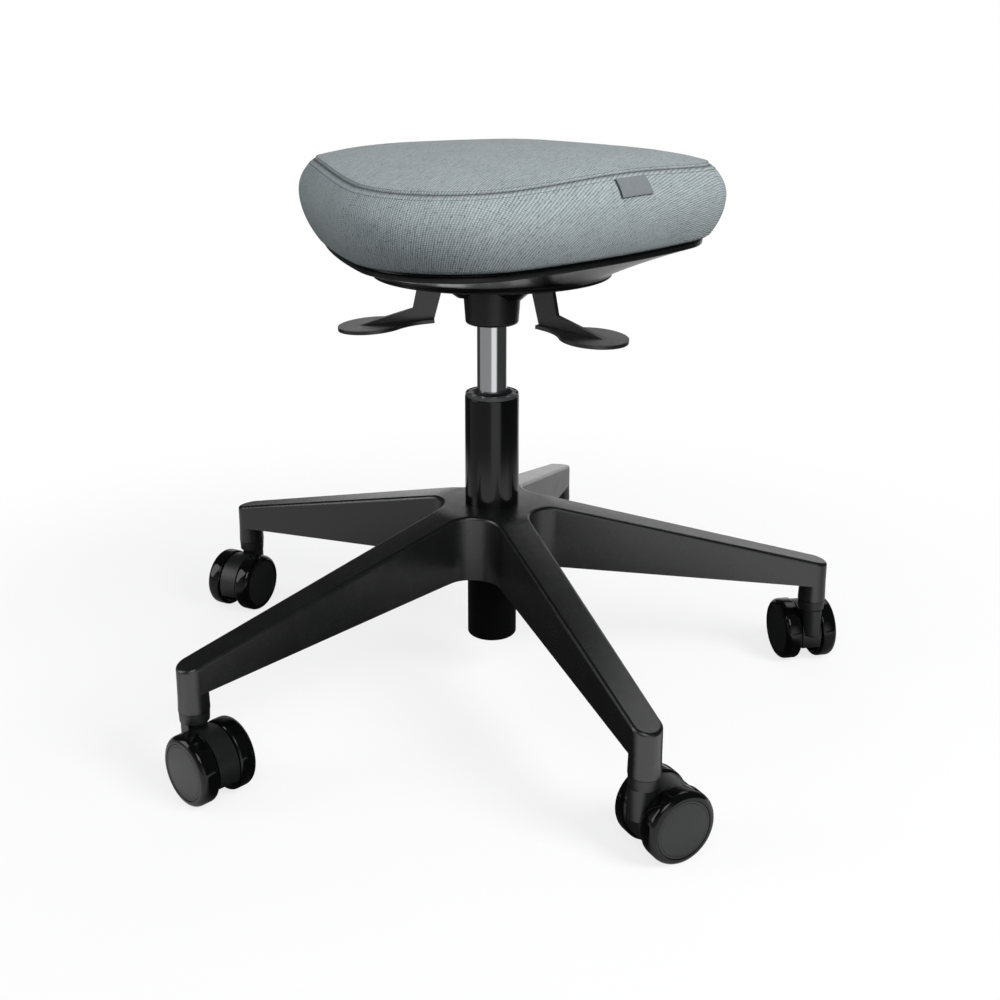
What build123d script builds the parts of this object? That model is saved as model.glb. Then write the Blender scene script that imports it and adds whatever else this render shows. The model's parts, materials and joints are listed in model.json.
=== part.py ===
import math
import os

from build123d import *

# Ergonomic stool: five-star base on casters, gas lift, spoon levers and a three-cornered cushion.
# Millimetres. Floor at z = 0, column on the Z axis, the seat's nose towards -Y.

# General clearances
running_gap = 0.06
seat_gap = 0.05
swivel_gap = 0.6
pin_chamfer = 1.0

# Five-star base
arm_count = 5
first_arm_angle = 90.0
caster_reach = 318.0
arm_root_radius = 17.0
boss_radius = 12.7
boss_flare = 0.5
boss_bottom = 70.4
web_radius = 28.0
hub_top = 179.0
hub_rim_radius = 31.0
shoulder_reach = 56.0
shoulder_drop = 1.0
shoulder_blend = 60.0
arm_tip_top = 109.0
hub_bottom = 116.0
belly_reach = 62.0
arm_tip_bottom = 84.0
belly_blend = 120.0
arm_edge_round = 3.0
top_face_tilt = 66.0
arm_wall = 3.5
arm_roof = 5.0
rib_thickness = 3.0
rib_count = 4

# Gas lift
tube_radius = 25.5
tube_low_radius = 23.6
tube_wall = 1.8
tube_bottom = 43.0
tube_top = 284.0
tube_floor = 3.0
taper_drop = 4.0
bush_length = 70.0
bush_flange = 3.0
bush_flange_radius = 25.0
bush_mouth_radius = 19.0
bush_mouth_depth = 6.0
bush_slot_count = 12
bush_slot_width = 2.4
bush_slot_depth = 2.0
cylinder_radius = 14.0
cylinder_wall = 2.2
cylinder_bottom = 125.0
cylinder_top = 389.0
valve_block = 40.0
neck_radius = 13.2
neck_length = 34.0
gland_length = 22.0
rod_radius = 5.0
rod_end_radius = 4.0
rod_top = 240.0
piston_length = 10.0
bearing_radius = 12.0
washer_thickness = 1.5
cage_thickness = 3.0
clip_radius = 8.0
clip_thickness = 1.2
clip_gap = 0.4
rod_tail = 2.5

# Mechanism under the seat
cup_drop = 36.0
cup_height = 27.0
cup_low_radius = 24.5
cup_high_radius = 26.5
cup_edge_round = 3.0
tray_sink = 11.0
tray_depth = 16.0
tray_half_x = 42.0
tray_half_y = 30.0
tray_flare = 12.0
tray_corner = 7.0
tray_wall = 3.0
button_radius = 4.0
button_rise = 7.5
button_length = 16.0
height_lever_angle = 202.0
tilt_lever_angle = 338.0
height_finger_reach = -3.0
tilt_finger_reach = 15.0
lever_gap = 0.5
lever_slot_gap = 1.5
pivot_reach = 36.0
pivot_rise = 2.0
pivot_boss = 6.0
pivot_pin_radius = 2.5
pivot_pin_length = 17.0
lug_thickness = 4.0
lever_web = 5.0
finger_depth = 5.0
finger_flat = 10.0
web_inner = 46.0
web_outer = 67.0
web_foot_inner = 54.0
web_foot_outer = 73.0
knee_drop = 23.0
rib_end = 122.0
paddle_drop = 32.7
paddle_fall = 6.3
paddle_thickness = 3.5
paddle_root_half = 8.0
paddle_neck_half = 12.0
paddle_centre = 111.0
spoon_radius = 31.0
spoon_blend = 36.0
trunnion_rise = 10.0
trunnion_radius = 4.0
trunnion_end = 1.2

# Seat structure
plate_clearance = 6.0
plate_thickness = 4.0
plate_half_x = 60.0
plate_half_y = 48.0
plate_corner = 10.0
ear_gap = 0.6
ear_thickness = 4.0
ear_radius = 9.0
bolt_radius = 3.0
bolt_head_radius = 5.5
bolt_head = 3.5
bolt_x = 51.0
bolt_y = 38.0
bolt_length = 13.0
board_proud = 3.0
board_thickness = 13.0
skirt_radius = 109.0
skirt_drop = 13.0
skirt_height = 11.0
skirt_wall = 4.0
skirt_groove = 2.0
skirt_round = 3.0
skirt_lip = 8.0
pan_wall = 3.0
pan_inset = 12.0
pan_screw_gap = 2.5
pan_screw_count = 6
pan_screw_radius = 2.0
pan_screw_head_radius = 4.0
pan_screw_head = 2.0
pan_screw_length = 11.0

# Cushion: a rounded triangle of tangent arcs, drawn in below and above its widest line
corner_angles = (270.0, 30.0, 150.0)
corner_centre = 116.0
corner_radius = 88.0
side_radius = 812.0
bottom_inset = 8.0
bulge = 10.0
bulge_height = 37.0
seam_height = 69.0
edge_inset = 32.0
edge_height = 92.0
crown_height = 87.0
crown_radius = 1500.0
cover_thickness = 2.0
label_side = 330.0
label_shift = 6.0
label_width = 42.0
label_drop = 18.0
label_thickness = 1.2
label_lean = 22.0
label_standoff = 1.8

# Casters
caster_turn = 97.0
trail = 19.5
wheel_radius = 30.0
wheel_width = 16.0
wheel_offset = 18.3
wheel_shoulder = 5.0
wheel_inner_round = 2.5
wheel_rim = 4.5
wheel_hub_radius = 9.0
wheel_hollow = 6.7
cap_inset = 6.0
cap_gap = 0.2
cap_depth = 2.0
cap_proud = 0.2
cap_bevel = 0.8
axle_radius = 4.0
axle_end_gap = 1.5
hood_side_gap = 0.9
hood_inset = 1.6
hood_wall = 3.0
hood_open_drop = 11.0
hood_web = 5.0
post_collar_proud = 0.2
post_collar_height = 9.0
post_nose = 4.2
post_foot_rise = 3.0
post_foot_round = 2.0
stem_radius = 5.5
stem_low_radius = 5.0
stem_socket = 28.0
stem_floor = 3.0
stem_end_gap = 1.0

# Places worked out from the sizes above
arm_angles = [first_arm_angle + 360 / arm_count * number for number in range(arm_count)]
shoulder_height = hub_top - shoulder_drop
taper_top = hub_top - taper_drop
arm_slope = (shoulder_height - arm_tip_top) / (caster_reach + boss_radius - shoulder_reach)
cup_bottom = cylinder_top - cup_drop
cup_top = cup_bottom + cup_height
tray_floor = cylinder_top - tray_sink
tray_inside = tray_floor + tray_flare
tray_top = tray_inside + tray_depth
button_top = cylinder_top + button_rise
pivot_height = tray_inside + pivot_rise
paddle_root_height = pivot_height - paddle_drop
trunnion_height = tray_inside + trunnion_rise
plate_bottom = tray_top + plate_clearance
board_bottom = plate_bottom + plate_thickness
board_top = board_bottom + board_thickness
skirt_bottom = plate_bottom - skirt_drop
skirt_inside = skirt_radius - skirt_wall - skirt_lip
board_radius = skirt_radius + board_proud
pan_screw_reach = skirt_inside - pan_screw_gap - pan_screw_head_radius
pan_opening = pan_screw_reach - pan_screw_head_radius - pan_screw_gap
cushion_bottom = board_top
crown_top = cushion_bottom + crown_height
levers = {
    "height_lever": (height_lever_angle, height_finger_reach),
    "tilt_lever": (tilt_lever_angle, tilt_finger_reach),
}
axle_height = wheel_radius
cap_radius = wheel_radius - cap_inset
hood_radius = wheel_radius - hood_inset
hood_open_height = axle_height - hood_open_drop
post_collar_radius = boss_radius + post_collar_proud
post_foot = axle_height + post_foot_rise
stem_foot = post_foot + stem_floor
wheel_inside = wheel_offset - wheel_width / 2
wheel_outside = wheel_offset + wheel_width / 2
hood_half = wheel_inside - hood_side_gap
side_centre = (math.sqrt(4 * (side_radius - corner_radius) ** 2 - 3 * corner_centre**2) - corner_centre) / 2
rod_shoulder = tube_bottom + tube_floor + 2 * washer_thickness + cage_thickness

os.makedirs("parts", exist_ok=True)


def save(piece, name):
    """Label a finished piece and write its STEP file."""
    piece.part.label = name
    export_step(piece.part, f"parts/{name}.step")


def polar(reach, angle):
    """Point at a reach and an angle in degrees about the column."""
    return (reach * math.cos(math.radians(angle)), reach * math.sin(math.radians(angle)))


def ring(inner, outer, low, high):
    """Turned ring about the column, as a closed outline of radius and height."""
    with BuildSketch(Plane.XZ) as outline:
        with BuildLine():
            Polyline((inner, low), (outer, low), (outer, high), (inner, high), close=True)
        make_face()
    revolve(outline.sketch, axis=Axis.Z)


# Five-star base


def star_plan(root, tip):
    """Five tapered arms with round ends, joined by concave webs."""
    slant = math.asin((root - tip) / caster_reach)
    reach = caster_reach + tip * math.sin(slant)
    near = (root * math.sin(slant), root * math.cos(slant))
    far = (reach, tip * math.cos(slant))
    with BuildSketch(mode=Mode.PRIVATE) as arm:
        with BuildLine():
            Line((near[0], -near[1]), (far[0], -far[1]))
            ThreePointArc((far[0], -far[1]), (caster_reach + tip, 0), far)
            Line(far, near)
            Line(near, (near[0], -near[1]))
        make_face()
    Circle(root)
    with PolarLocations(0, arm_count, first_arm_angle):
        add(arm.sketch)


def arm_profile(drop, floor, inner, outer):
    """Side outline of an arm between two reaches, lowered by a roof thickness."""

    def roof(reach):
        return shoulder_height - arm_slope * (reach - shoulder_reach) - drop

    with BuildLine() as bay:
        Polyline((inner, floor), (outer, floor), (outer, roof(outer)), (inner, roof(inner)), close=True)
    make_face(bay.edges())


with BuildPart() as arm_cores:
    with BuildSketch(Plane.XY) as core_plan:
        star_plan(arm_root_radius - arm_wall, boss_radius - arm_wall)
    extrude(amount=hub_top)
    core_start = shoulder_reach
    core_end = caster_reach - boss_radius - rib_thickness
    core_pitch = (core_end - core_start) / (rib_count + 1)
    with BuildSketch(Plane.XZ) as core_bays:
        for bay in range(rib_count + 1):
            bay_start = core_start + bay * core_pitch
            arm_profile(arm_roof, 0, bay_start + rib_thickness / 2, bay_start + core_pitch - rib_thickness / 2)
    revolve(axis=Axis.Z, mode=Mode.INTERSECT)

with BuildPart() as star_base:
    with BuildSketch(Plane.XY) as plan:
        star_plan(arm_root_radius, boss_radius)
        fillet(plan.vertices().filter_by(lambda v: math.hypot(v.X, v.Y) < 2 * arm_root_radius), web_radius)
    extrude(amount=hub_top)
    with BuildSketch(Plane.XZ) as side:
        rim = caster_reach + 2 * boss_radius
        with BuildLine():
            Polyline(
                (0, hub_bottom),
                (belly_reach, hub_bottom),
                (rim, arm_tip_bottom),
                (rim, shoulder_height - arm_slope * (rim - shoulder_reach)),
                (shoulder_reach, shoulder_height),
                (hub_rim_radius, hub_top),
                (0, hub_top),
                close=True,
            )
        make_face()
        fillet(side.vertices().filter_by(lambda v: abs(v.X - shoulder_reach) < 1), shoulder_blend)
        fillet(side.vertices().filter_by(lambda v: abs(v.X - belly_reach) < 1), belly_blend)
    revolve(axis=Axis.Z, mode=Mode.INTERSECT)
    least_rise = math.cos(math.radians(top_face_tilt))
    top_faces = star_base.faces().filter_by(lambda f: f.normal_at().Z > least_rise)
    fillet(top_faces.edges().filter_by(GeomType.CIRCLE, reverse=True), arm_edge_round)
    with PolarLocations(caster_reach, arm_count, first_arm_angle):
        with Locations((0, 0, boss_bottom)):
            Cone(
                boss_radius + boss_flare,
                boss_radius,
                arm_tip_bottom + arm_roof - boss_bottom,
                align=(Align.CENTER, Align.CENTER, Align.MIN),
            )
    add(arm_cores.part, mode=Mode.SUBTRACT)
    with PolarLocations(caster_reach, arm_count, first_arm_angle):
        with Locations((0, 0, boss_bottom)):
            Cylinder(
                stem_radius,
                stem_socket,
                align=(Align.CENTER, Align.CENTER, Align.MIN),
                mode=Mode.SUBTRACT,
            )
    with BuildSketch(Plane.XZ) as socket:
        with BuildLine():
            Polyline(
                (0, 0),
                (tube_low_radius + seat_gap, 0),
                (tube_low_radius + seat_gap, hub_bottom),
                (tube_radius + seat_gap, taper_top),
                (tube_radius + seat_gap, tube_top),
                (0, tube_top),
                close=True,
            )
        make_face()
    revolve(axis=Axis.Z, mode=Mode.SUBTRACT)
save(star_base, "star_base")

# Gas lift

tube_bore = tube_radius - tube_wall
tube_low_bore = tube_low_radius - tube_wall

with BuildPart() as column_tube:
    with BuildSketch(Plane.XZ) as tube_outline:
        with BuildLine():
            Polyline(
                (rod_end_radius + running_gap, tube_bottom),
                (tube_low_radius, tube_bottom),
                (tube_low_radius, hub_bottom),
                (tube_radius, taper_top),
                (tube_radius, tube_top),
                (tube_bore, tube_top),
                (tube_bore, taper_top),
                (tube_low_bore, hub_bottom),
                (tube_low_bore, tube_bottom + tube_floor),
                (rod_end_radius + running_gap, tube_bottom + tube_floor),
                close=True,
            )
        make_face()
    revolve(axis=Axis.Z)
    fillet(column_tube.edges().group_by(Axis.Z)[0].sort_by(SortBy.RADIUS)[-1], tube_wall)
save(column_tube, "column_tube")

with BuildPart() as guide_bush:
    ring(cylinder_radius + running_gap, tube_bore - seat_gap, tube_top - bush_length, tube_top)
    ring(cylinder_radius + running_gap, bush_flange_radius, tube_top, tube_top + bush_flange)
    with Locations((0, 0, tube_top + bush_flange)):
        Cone(
            cylinder_radius + running_gap,
            bush_mouth_radius,
            bush_mouth_depth,
            align=(Align.CENTER, Align.CENTER, Align.MAX),
            mode=Mode.SUBTRACT,
        )
    with PolarLocations((bush_mouth_radius + bush_flange_radius) / 2 + bush_slot_depth, bush_slot_count):
        with Locations((0, 0, tube_top + bush_flange)):
            Box(
                bush_flange_radius - bush_mouth_radius,
                bush_slot_width,
                2 * bush_slot_depth,
                mode=Mode.SUBTRACT,
            )
save(guide_bush, "guide_bush")

with BuildPart() as thrust_bearing:
    low = tube_bottom + tube_floor
    ring(rod_end_radius + running_gap, bearing_radius, low, low + washer_thickness)
    ring(
        rod_end_radius + running_gap,
        bearing_radius - washer_thickness,
        low + washer_thickness,
        low + washer_thickness + cage_thickness,
    )
    ring(rod_end_radius + running_gap, bearing_radius, rod_shoulder - washer_thickness, rod_shoulder)
save(thrust_bearing, "thrust_bearing")

with BuildPart() as piston_rod:
    clip_top = tube_bottom - clip_gap
    rod_bottom = clip_top - clip_thickness - rod_tail
    ring(0, rod_end_radius, rod_bottom, rod_shoulder)
    ring(0, rod_radius, rod_shoulder, rod_top)
    chamfer(piston_rod.edges().group_by(Axis.Z)[0], pin_chamfer)
save(piston_rod, "piston_rod")

with BuildPart() as rod_clip:
    ring(rod_end_radius, clip_radius, clip_top - clip_thickness, clip_top)
    with Locations((0, clip_radius, clip_top - clip_thickness / 2)):
        Box(rod_end_radius, 2 * clip_radius, clip_thickness, mode=Mode.SUBTRACT)
save(rod_clip, "rod_clip")

with BuildPart() as piston:
    bore = cylinder_radius - cylinder_wall
    ring(rod_radius, bore - running_gap, rod_top - piston_length, rod_top)
save(piston, "piston")

with BuildPart() as gas_cylinder:
    bore = cylinder_radius - cylinder_wall
    with BuildSketch(Plane.XZ) as cylinder_outline:
        with BuildLine():
            Polyline(
                (bore, cylinder_bottom),
                (cylinder_radius, cylinder_bottom),
                (cylinder_radius, cylinder_top - neck_length),
                (neck_radius, cylinder_top),
                (button_radius + running_gap, cylinder_top),
                (button_radius + running_gap, cylinder_top - valve_block),
                (bore, cylinder_top - valve_block),
                close=True,
            )
        make_face()
    revolve(axis=Axis.Z)
save(gas_cylinder, "gas_cylinder")

with BuildPart() as cylinder_gland:
    ring(rod_radius + running_gap, bore, cylinder_bottom, cylinder_bottom + gland_length)
save(cylinder_gland, "cylinder_gland")

with BuildPart() as valve_button:
    ring(0, button_radius, button_top - button_length, button_top)
    chamfer(valve_button.edges().group_by(Axis.Z)[-1], pin_chamfer)
save(valve_button, "valve_button")

# Mechanism housing: cup on the cylinder's taper, flaring into an open tray

slot_half = lever_web / 2 + lever_slot_gap
slot_floor = pivot_height - pivot_boss - lever_slot_gap
finger_bottom = button_top + lever_gap

with BuildPart() as mechanism_housing:
    with BuildSketch(Plane.XZ) as cup_outline:
        with BuildLine():
            Polyline(
                (0, cup_bottom),
                (cup_low_radius, cup_bottom),
                (cup_high_radius, cup_top),
                (cup_high_radius, tray_inside),
                (0, tray_inside),
                close=True,
            )
        make_face()
        fillet(cup_outline.vertices().group_by(Axis.Y)[0].sort_by(Axis.X)[-1], cup_edge_round)
    revolve(axis=Axis.Z)
    with BuildSketch(Plane.XY.offset(tray_floor)) as tray_foot:
        RectangleRounded(2 * (tray_half_x - tray_flare), 2 * (tray_half_y - tray_flare), tray_corner)
    with BuildSketch(Plane.XY.offset(tray_inside)) as tray_plan:
        RectangleRounded(2 * tray_half_x, 2 * tray_half_y, tray_corner)
    loft(ruled=True)
    with BuildSketch(Plane.XY.offset(tray_inside)) as tray_walls:
        RectangleRounded(2 * tray_half_x, 2 * tray_half_y, tray_corner)
        RectangleRounded(
            2 * (tray_half_x - tray_wall),
            2 * (tray_half_y - tray_wall),
            tray_corner - tray_wall,
            mode=Mode.SUBTRACT,
        )
    extrude(amount=tray_top - tray_inside)
    for angle, _ in levers.values():
        with Locations(Location((0, 0, 0), (0, 0, angle))):
            side_step = slot_half + lug_thickness / 2
            with Locations((pivot_reach, -side_step, tray_inside), (pivot_reach, side_step, tray_inside)):
                Box(
                    2 * pivot_boss,
                    lug_thickness,
                    pivot_height - tray_inside + pivot_boss,
                    align=(Align.CENTER, Align.CENTER, Align.MIN),
                )
            with Locations((pivot_reach - pivot_boss - lever_slot_gap, 0, slot_floor)):
                Box(
                    tray_half_x,
                    2 * slot_half,
                    tray_top,
                    align=(Align.MIN, Align.CENTER, Align.MIN),
                    mode=Mode.SUBTRACT,
                )
            with Locations(Location((pivot_reach, 0, pivot_height), (90, 0, 0))):
                Cylinder(pivot_pin_radius, pivot_pin_length, mode=Mode.SUBTRACT)
    with Locations(Location((0, 0, trunnion_height), (0, 90, 0))):
        Cylinder(trunnion_radius, 4 * tray_half_x, mode=Mode.SUBTRACT)
    with BuildSketch(Plane.XZ) as taper_socket:
        with BuildLine():
            Polyline(
                (0, 0),
                (cylinder_radius + seat_gap, 0),
                (cylinder_radius + seat_gap, cylinder_top - neck_length),
                (neck_radius + seat_gap, cylinder_top),
                (neck_radius + seat_gap, tray_top),
                (0, tray_top),
                close=True,
            )
        make_face()
    revolve(axis=Axis.Z, mode=Mode.SUBTRACT)
save(mechanism_housing, "mechanism_housing")

# Spoon levers: a finger over the column, an upright web and a spoon paddle with a tapering rib

paddle_slope = paddle_fall / (paddle_centre + spoon_radius - web_foot_inner)
rib_sink = paddle_thickness / 2


def paddle_height(reach):
    """Height of the paddle's upper face at a reach from the column."""
    return paddle_root_height - paddle_slope * (reach - web_foot_inner)


def lever(finger_tip):
    """Lever with its length along +X, before it is turned to its place."""
    with BuildPart() as body:
        with BuildSketch(Plane.XZ) as web:
            with BuildLine():
                Polyline(
                    (pivot_reach, pivot_height - finger_depth),
                    (web_inner, pivot_height - finger_depth),
                    (web_foot_inner, paddle_height(web_foot_inner) - rib_sink),
                    (rib_end, paddle_height(rib_end) - rib_sink),
                    (rib_end, paddle_height(rib_end)),
                    (web_foot_outer, pivot_height - knee_drop),
                    (web_outer, pivot_height + finger_depth),
                    (pivot_reach, pivot_height + finger_depth),
                    close=True,
                )
            make_face()
            with Locations((pivot_reach, pivot_height)):
                Circle(pivot_boss)
            with BuildLine():
                Polyline(
                    (finger_tip, finger_bottom),
                    (finger_tip + finger_flat, finger_bottom),
                    (pivot_reach, finger_bottom - finger_depth),
                    (pivot_reach, finger_bottom + finger_depth / 2),
                    (finger_tip, finger_bottom + finger_depth),
                    close=True,
                )
            make_face()
        extrude(amount=lever_web / 2, both=True)
        paddle_plane = Plane(
            origin=(web_foot_inner, 0, paddle_root_height),
            x_dir=(1, 0, -paddle_slope),
            z_dir=(paddle_slope, 0, 1),
        )
        with BuildSketch(paddle_plane) as paddle:
            spoon_start = paddle_centre - web_foot_inner
            with BuildLine():
                Polyline(
                    (0, -paddle_root_half),
                    (spoon_start, -paddle_neck_half),
                    (spoon_start, paddle_neck_half),
                    (0, paddle_root_half),
                    close=True,
                )
            make_face()
            with Locations((spoon_start, 0)):
                Circle(spoon_radius)
            fillet(paddle.vertices().filter_by(lambda v: 1 < v.X < spoon_start), spoon_blend)
        extrude(amount=-paddle_thickness)
        with Locations(Location((pivot_reach, 0, pivot_height), (90, 0, 0))):
            Cylinder(pivot_pin_radius + running_gap, 2 * lever_web, mode=Mode.SUBTRACT)
    return body.part


for lever_name, (lever_angle, finger_tip) in levers.items():
    with BuildPart() as lever_piece:
        add(lever(finger_tip), rotation=(0, 0, lever_angle))
    save(lever_piece, lever_name)

with BuildPart() as lever_pins:
    for angle, _ in levers.values():
        with Locations(Location((0, 0, 0), (0, 0, angle))):
            with Locations(Location((pivot_reach, 0, pivot_height), (90, 0, 0))):
                Cylinder(pivot_pin_radius, pivot_pin_length)
save(lever_pins, "lever_pins")

ear_inside = tray_half_x + ear_gap
ear_outside = ear_inside + ear_thickness

with BuildPart() as trunnion_pins:
    pin_start = tray_half_x - tray_wall - trunnion_end
    with Locations((0, 0, trunnion_height)):
        for turn in (0, 180):
            with Locations(Location((0, 0, 0), (0, 0, turn))):
                with Locations(Location((pin_start, 0, 0), (0, 90, 0))):
                    Cylinder(
                        trunnion_radius,
                        ear_outside + trunnion_end - pin_start,
                        align=(Align.CENTER, Align.CENTER, Align.MIN),
                    )
save(trunnion_pins, "trunnion_pins")

# Seat structure

with BuildPart() as tilt_plate:
    with BuildSketch(Plane.XY.offset(plate_bottom)):
        RectangleRounded(2 * plate_half_x, 2 * plate_half_y, plate_corner)
        with GridLocations(2 * bolt_x, 2 * bolt_y, 2, 2):
            Circle(bolt_radius + seat_gap, mode=Mode.SUBTRACT)
    extrude(amount=plate_thickness)
    for start in (ear_inside, -ear_outside):
        with BuildSketch(Plane.YZ.offset(start)):
            with Locations((0, trunnion_height)):
                Circle(ear_radius)
            with Locations((0, (trunnion_height + plate_bottom) / 2)):
                Rectangle(2 * ear_radius, plate_bottom - trunnion_height)
            with Locations((0, trunnion_height)):
                Circle(trunnion_radius + running_gap, mode=Mode.SUBTRACT)
        extrude(amount=ear_thickness)
save(tilt_plate, "tilt_plate")

with BuildPart() as plate_bolts:
    with Locations((0, 0, plate_bottom)):
        with GridLocations(2 * bolt_x, 2 * bolt_y, 2, 2):
            Cylinder(bolt_radius, bolt_length, align=(Align.CENTER, Align.CENTER, Align.MIN))
            Cylinder(bolt_head_radius, bolt_head, align=(Align.CENTER, Align.CENTER, Align.MAX))
save(plate_bolts, "plate_bolts")

pan_bottom = skirt_bottom + skirt_height

with BuildPart() as seat_board:
    with BuildSketch(Plane.XY.offset(board_bottom)):
        Circle(board_radius)
        with GridLocations(2 * bolt_x, 2 * bolt_y, 2, 2):
            Circle(bolt_radius + seat_gap, mode=Mode.SUBTRACT)
    extrude(amount=board_top - board_bottom)
    with Locations((0, 0, pan_bottom)):
        with PolarLocations(pan_screw_reach, pan_screw_count):
            Cylinder(
                pan_screw_radius + seat_gap,
                pan_screw_length,
                align=(Align.CENTER, Align.CENTER, Align.MIN),
                mode=Mode.SUBTRACT,
            )
save(seat_board, "seat_board")


def seat_outline(grow):
    """Closed rounded triangle of tangent arcs, grown beyond the seam line."""
    corner = corner_radius + grow
    side = side_radius + grow
    spread = math.atan2(side_centre * math.sin(math.pi / 3), corner_centre + side_centre * math.cos(math.pi / 3))
    tangent = Vector(corner_centre + corner * math.cos(spread), corner * math.sin(spread))
    with BuildLine() as outline:
        for angle in corner_angles:
            start = Vector(tangent.X, -tangent.Y).rotate(Axis.Z, angle)
            end = tangent.rotate(Axis.Z, angle)
            after = Vector(tangent.X, -tangent.Y).rotate(Axis.Z, angle + 120)
            ThreePointArc(start, polar(corner_centre + corner, angle), end)
            ThreePointArc(end, polar(side - side_centre, angle + 60), after)
    make_face(outline.edges())


def round_outline(radius):
    """Circle cut into the same run of arcs as the seat outline."""
    split = math.degrees(math.atan2(corner_radius / 2, corner_centre))
    with BuildLine() as outline:
        for angle in corner_angles:
            ThreePointArc(polar(radius, angle - split), polar(radius, angle), polar(radius, angle + split))
            ThreePointArc(
                polar(radius, angle + split), polar(radius, angle + 60), polar(radius, angle + 120 - split)
            )
    make_face(outline.edges())


with BuildPart() as pan_space:
    with BuildSketch(Plane.XY.offset(board_bottom)) as space_low:
        round_outline(board_radius + seat_gap)
    with BuildSketch(Plane.XY.offset(board_top - pan_wall)) as space_high:
        seat_outline(-pan_inset - 2 * pan_wall)
    loft()

with BuildPart() as seat_pan:
    with BuildSketch(Plane.XY.offset(pan_bottom)) as pan_low:
        round_outline(skirt_radius)
    with BuildSketch(Plane.XY.offset(board_top)) as pan_high:
        seat_outline(-pan_inset)
    loft()
    add(pan_space.part, mode=Mode.SUBTRACT)
    with Locations((0, 0, board_bottom)):
        Cylinder(
            board_radius + seat_gap,
            board_top,
            align=(Align.CENTER, Align.CENTER, Align.MIN),
            mode=Mode.SUBTRACT,
        )
        Cylinder(pan_opening, board_bottom, mode=Mode.SUBTRACT)
    with Locations((0, 0, pan_bottom)):
        with PolarLocations(pan_screw_reach, pan_screw_count):
            Cylinder(
                pan_screw_radius + seat_gap,
                pan_screw_length,
                align=(Align.CENTER, Align.CENTER, Align.MIN),
                mode=Mode.SUBTRACT,
            )
save(seat_pan, "seat_pan")

with BuildPart() as pan_screws:
    with Locations((0, 0, pan_bottom)):
        with PolarLocations(pan_screw_reach, pan_screw_count):
            Cylinder(pan_screw_radius, pan_screw_length, align=(Align.CENTER, Align.CENTER, Align.MIN))
            Cylinder(pan_screw_head_radius, pan_screw_head, align=(Align.CENTER, Align.CENTER, Align.MAX))
save(pan_screws, "pan_screws")

with BuildPart() as skirt_ring:
    groove_bottom = pan_bottom - skirt_groove
    ring(skirt_radius - skirt_wall, skirt_radius, skirt_bottom, groove_bottom)
    ring(skirt_inside, skirt_radius - skirt_groove, groove_bottom, pan_bottom)
    fillet(skirt_ring.edges().group_by(Axis.Z)[0].sort_by(SortBy.RADIUS)[-1], skirt_round)
save(skirt_ring, "skirt_ring")

# Upholstery


def cushion(shrink):
    """Crowned cushion form, drawn in at its foot and above the seam."""
    levels = ((0, -bottom_inset), (bulge_height, bulge), (seam_height, 0), (edge_height, -edge_inset))
    with BuildPart() as body:
        for height, grow in levels:
            with BuildSketch(Plane.XY.offset(cushion_bottom + height)) as section:
                seat_outline(grow - shrink)
        loft()
        with Locations((0, 0, crown_top - shrink - crown_radius)):
            Sphere(crown_radius, mode=Mode.INTERSECT)
    return body.part


with BuildPart() as foam_pad:
    add(cushion(cover_thickness))
save(foam_pad, "foam_pad")

with BuildPart() as fabric_cover:
    add(cushion(0))
    add(foam_pad.part, mode=Mode.SUBTRACT)
save(fabric_cover, "fabric_cover")

with BuildPart() as label_tab:
    label_turn = label_side + math.degrees(label_shift / side_radius)
    side_middle = polar(-side_centre, label_side)
    side_reach = polar(side_radius + label_standoff, label_turn)
    label_out = Vector(1, 0, 0).rotate(Axis.Y, -label_lean).rotate(Axis.Z, label_turn)
    label_plane = Plane(
        origin=(side_middle[0] + side_reach[0], side_middle[1] + side_reach[1], cushion_bottom + seam_height),
        x_dir=Vector(0, 1, 0).rotate(Axis.Z, label_turn),
        z_dir=label_out,
    )
    with BuildSketch(label_plane):
        with Locations((0, -label_drop / 2)):
            Rectangle(label_width, label_drop)
    extrude(amount=label_thickness)
save(label_tab, "label_tab")

# Casters, each modelled with its stem on the Z axis and its wheels trailing along +X

with BuildPart() as caster_stem:
    ring(0, stem_radius - seat_gap, boss_bottom, boss_bottom + stem_socket - stem_end_gap)
    ring(0, stem_low_radius, stem_foot, boss_bottom)

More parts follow.
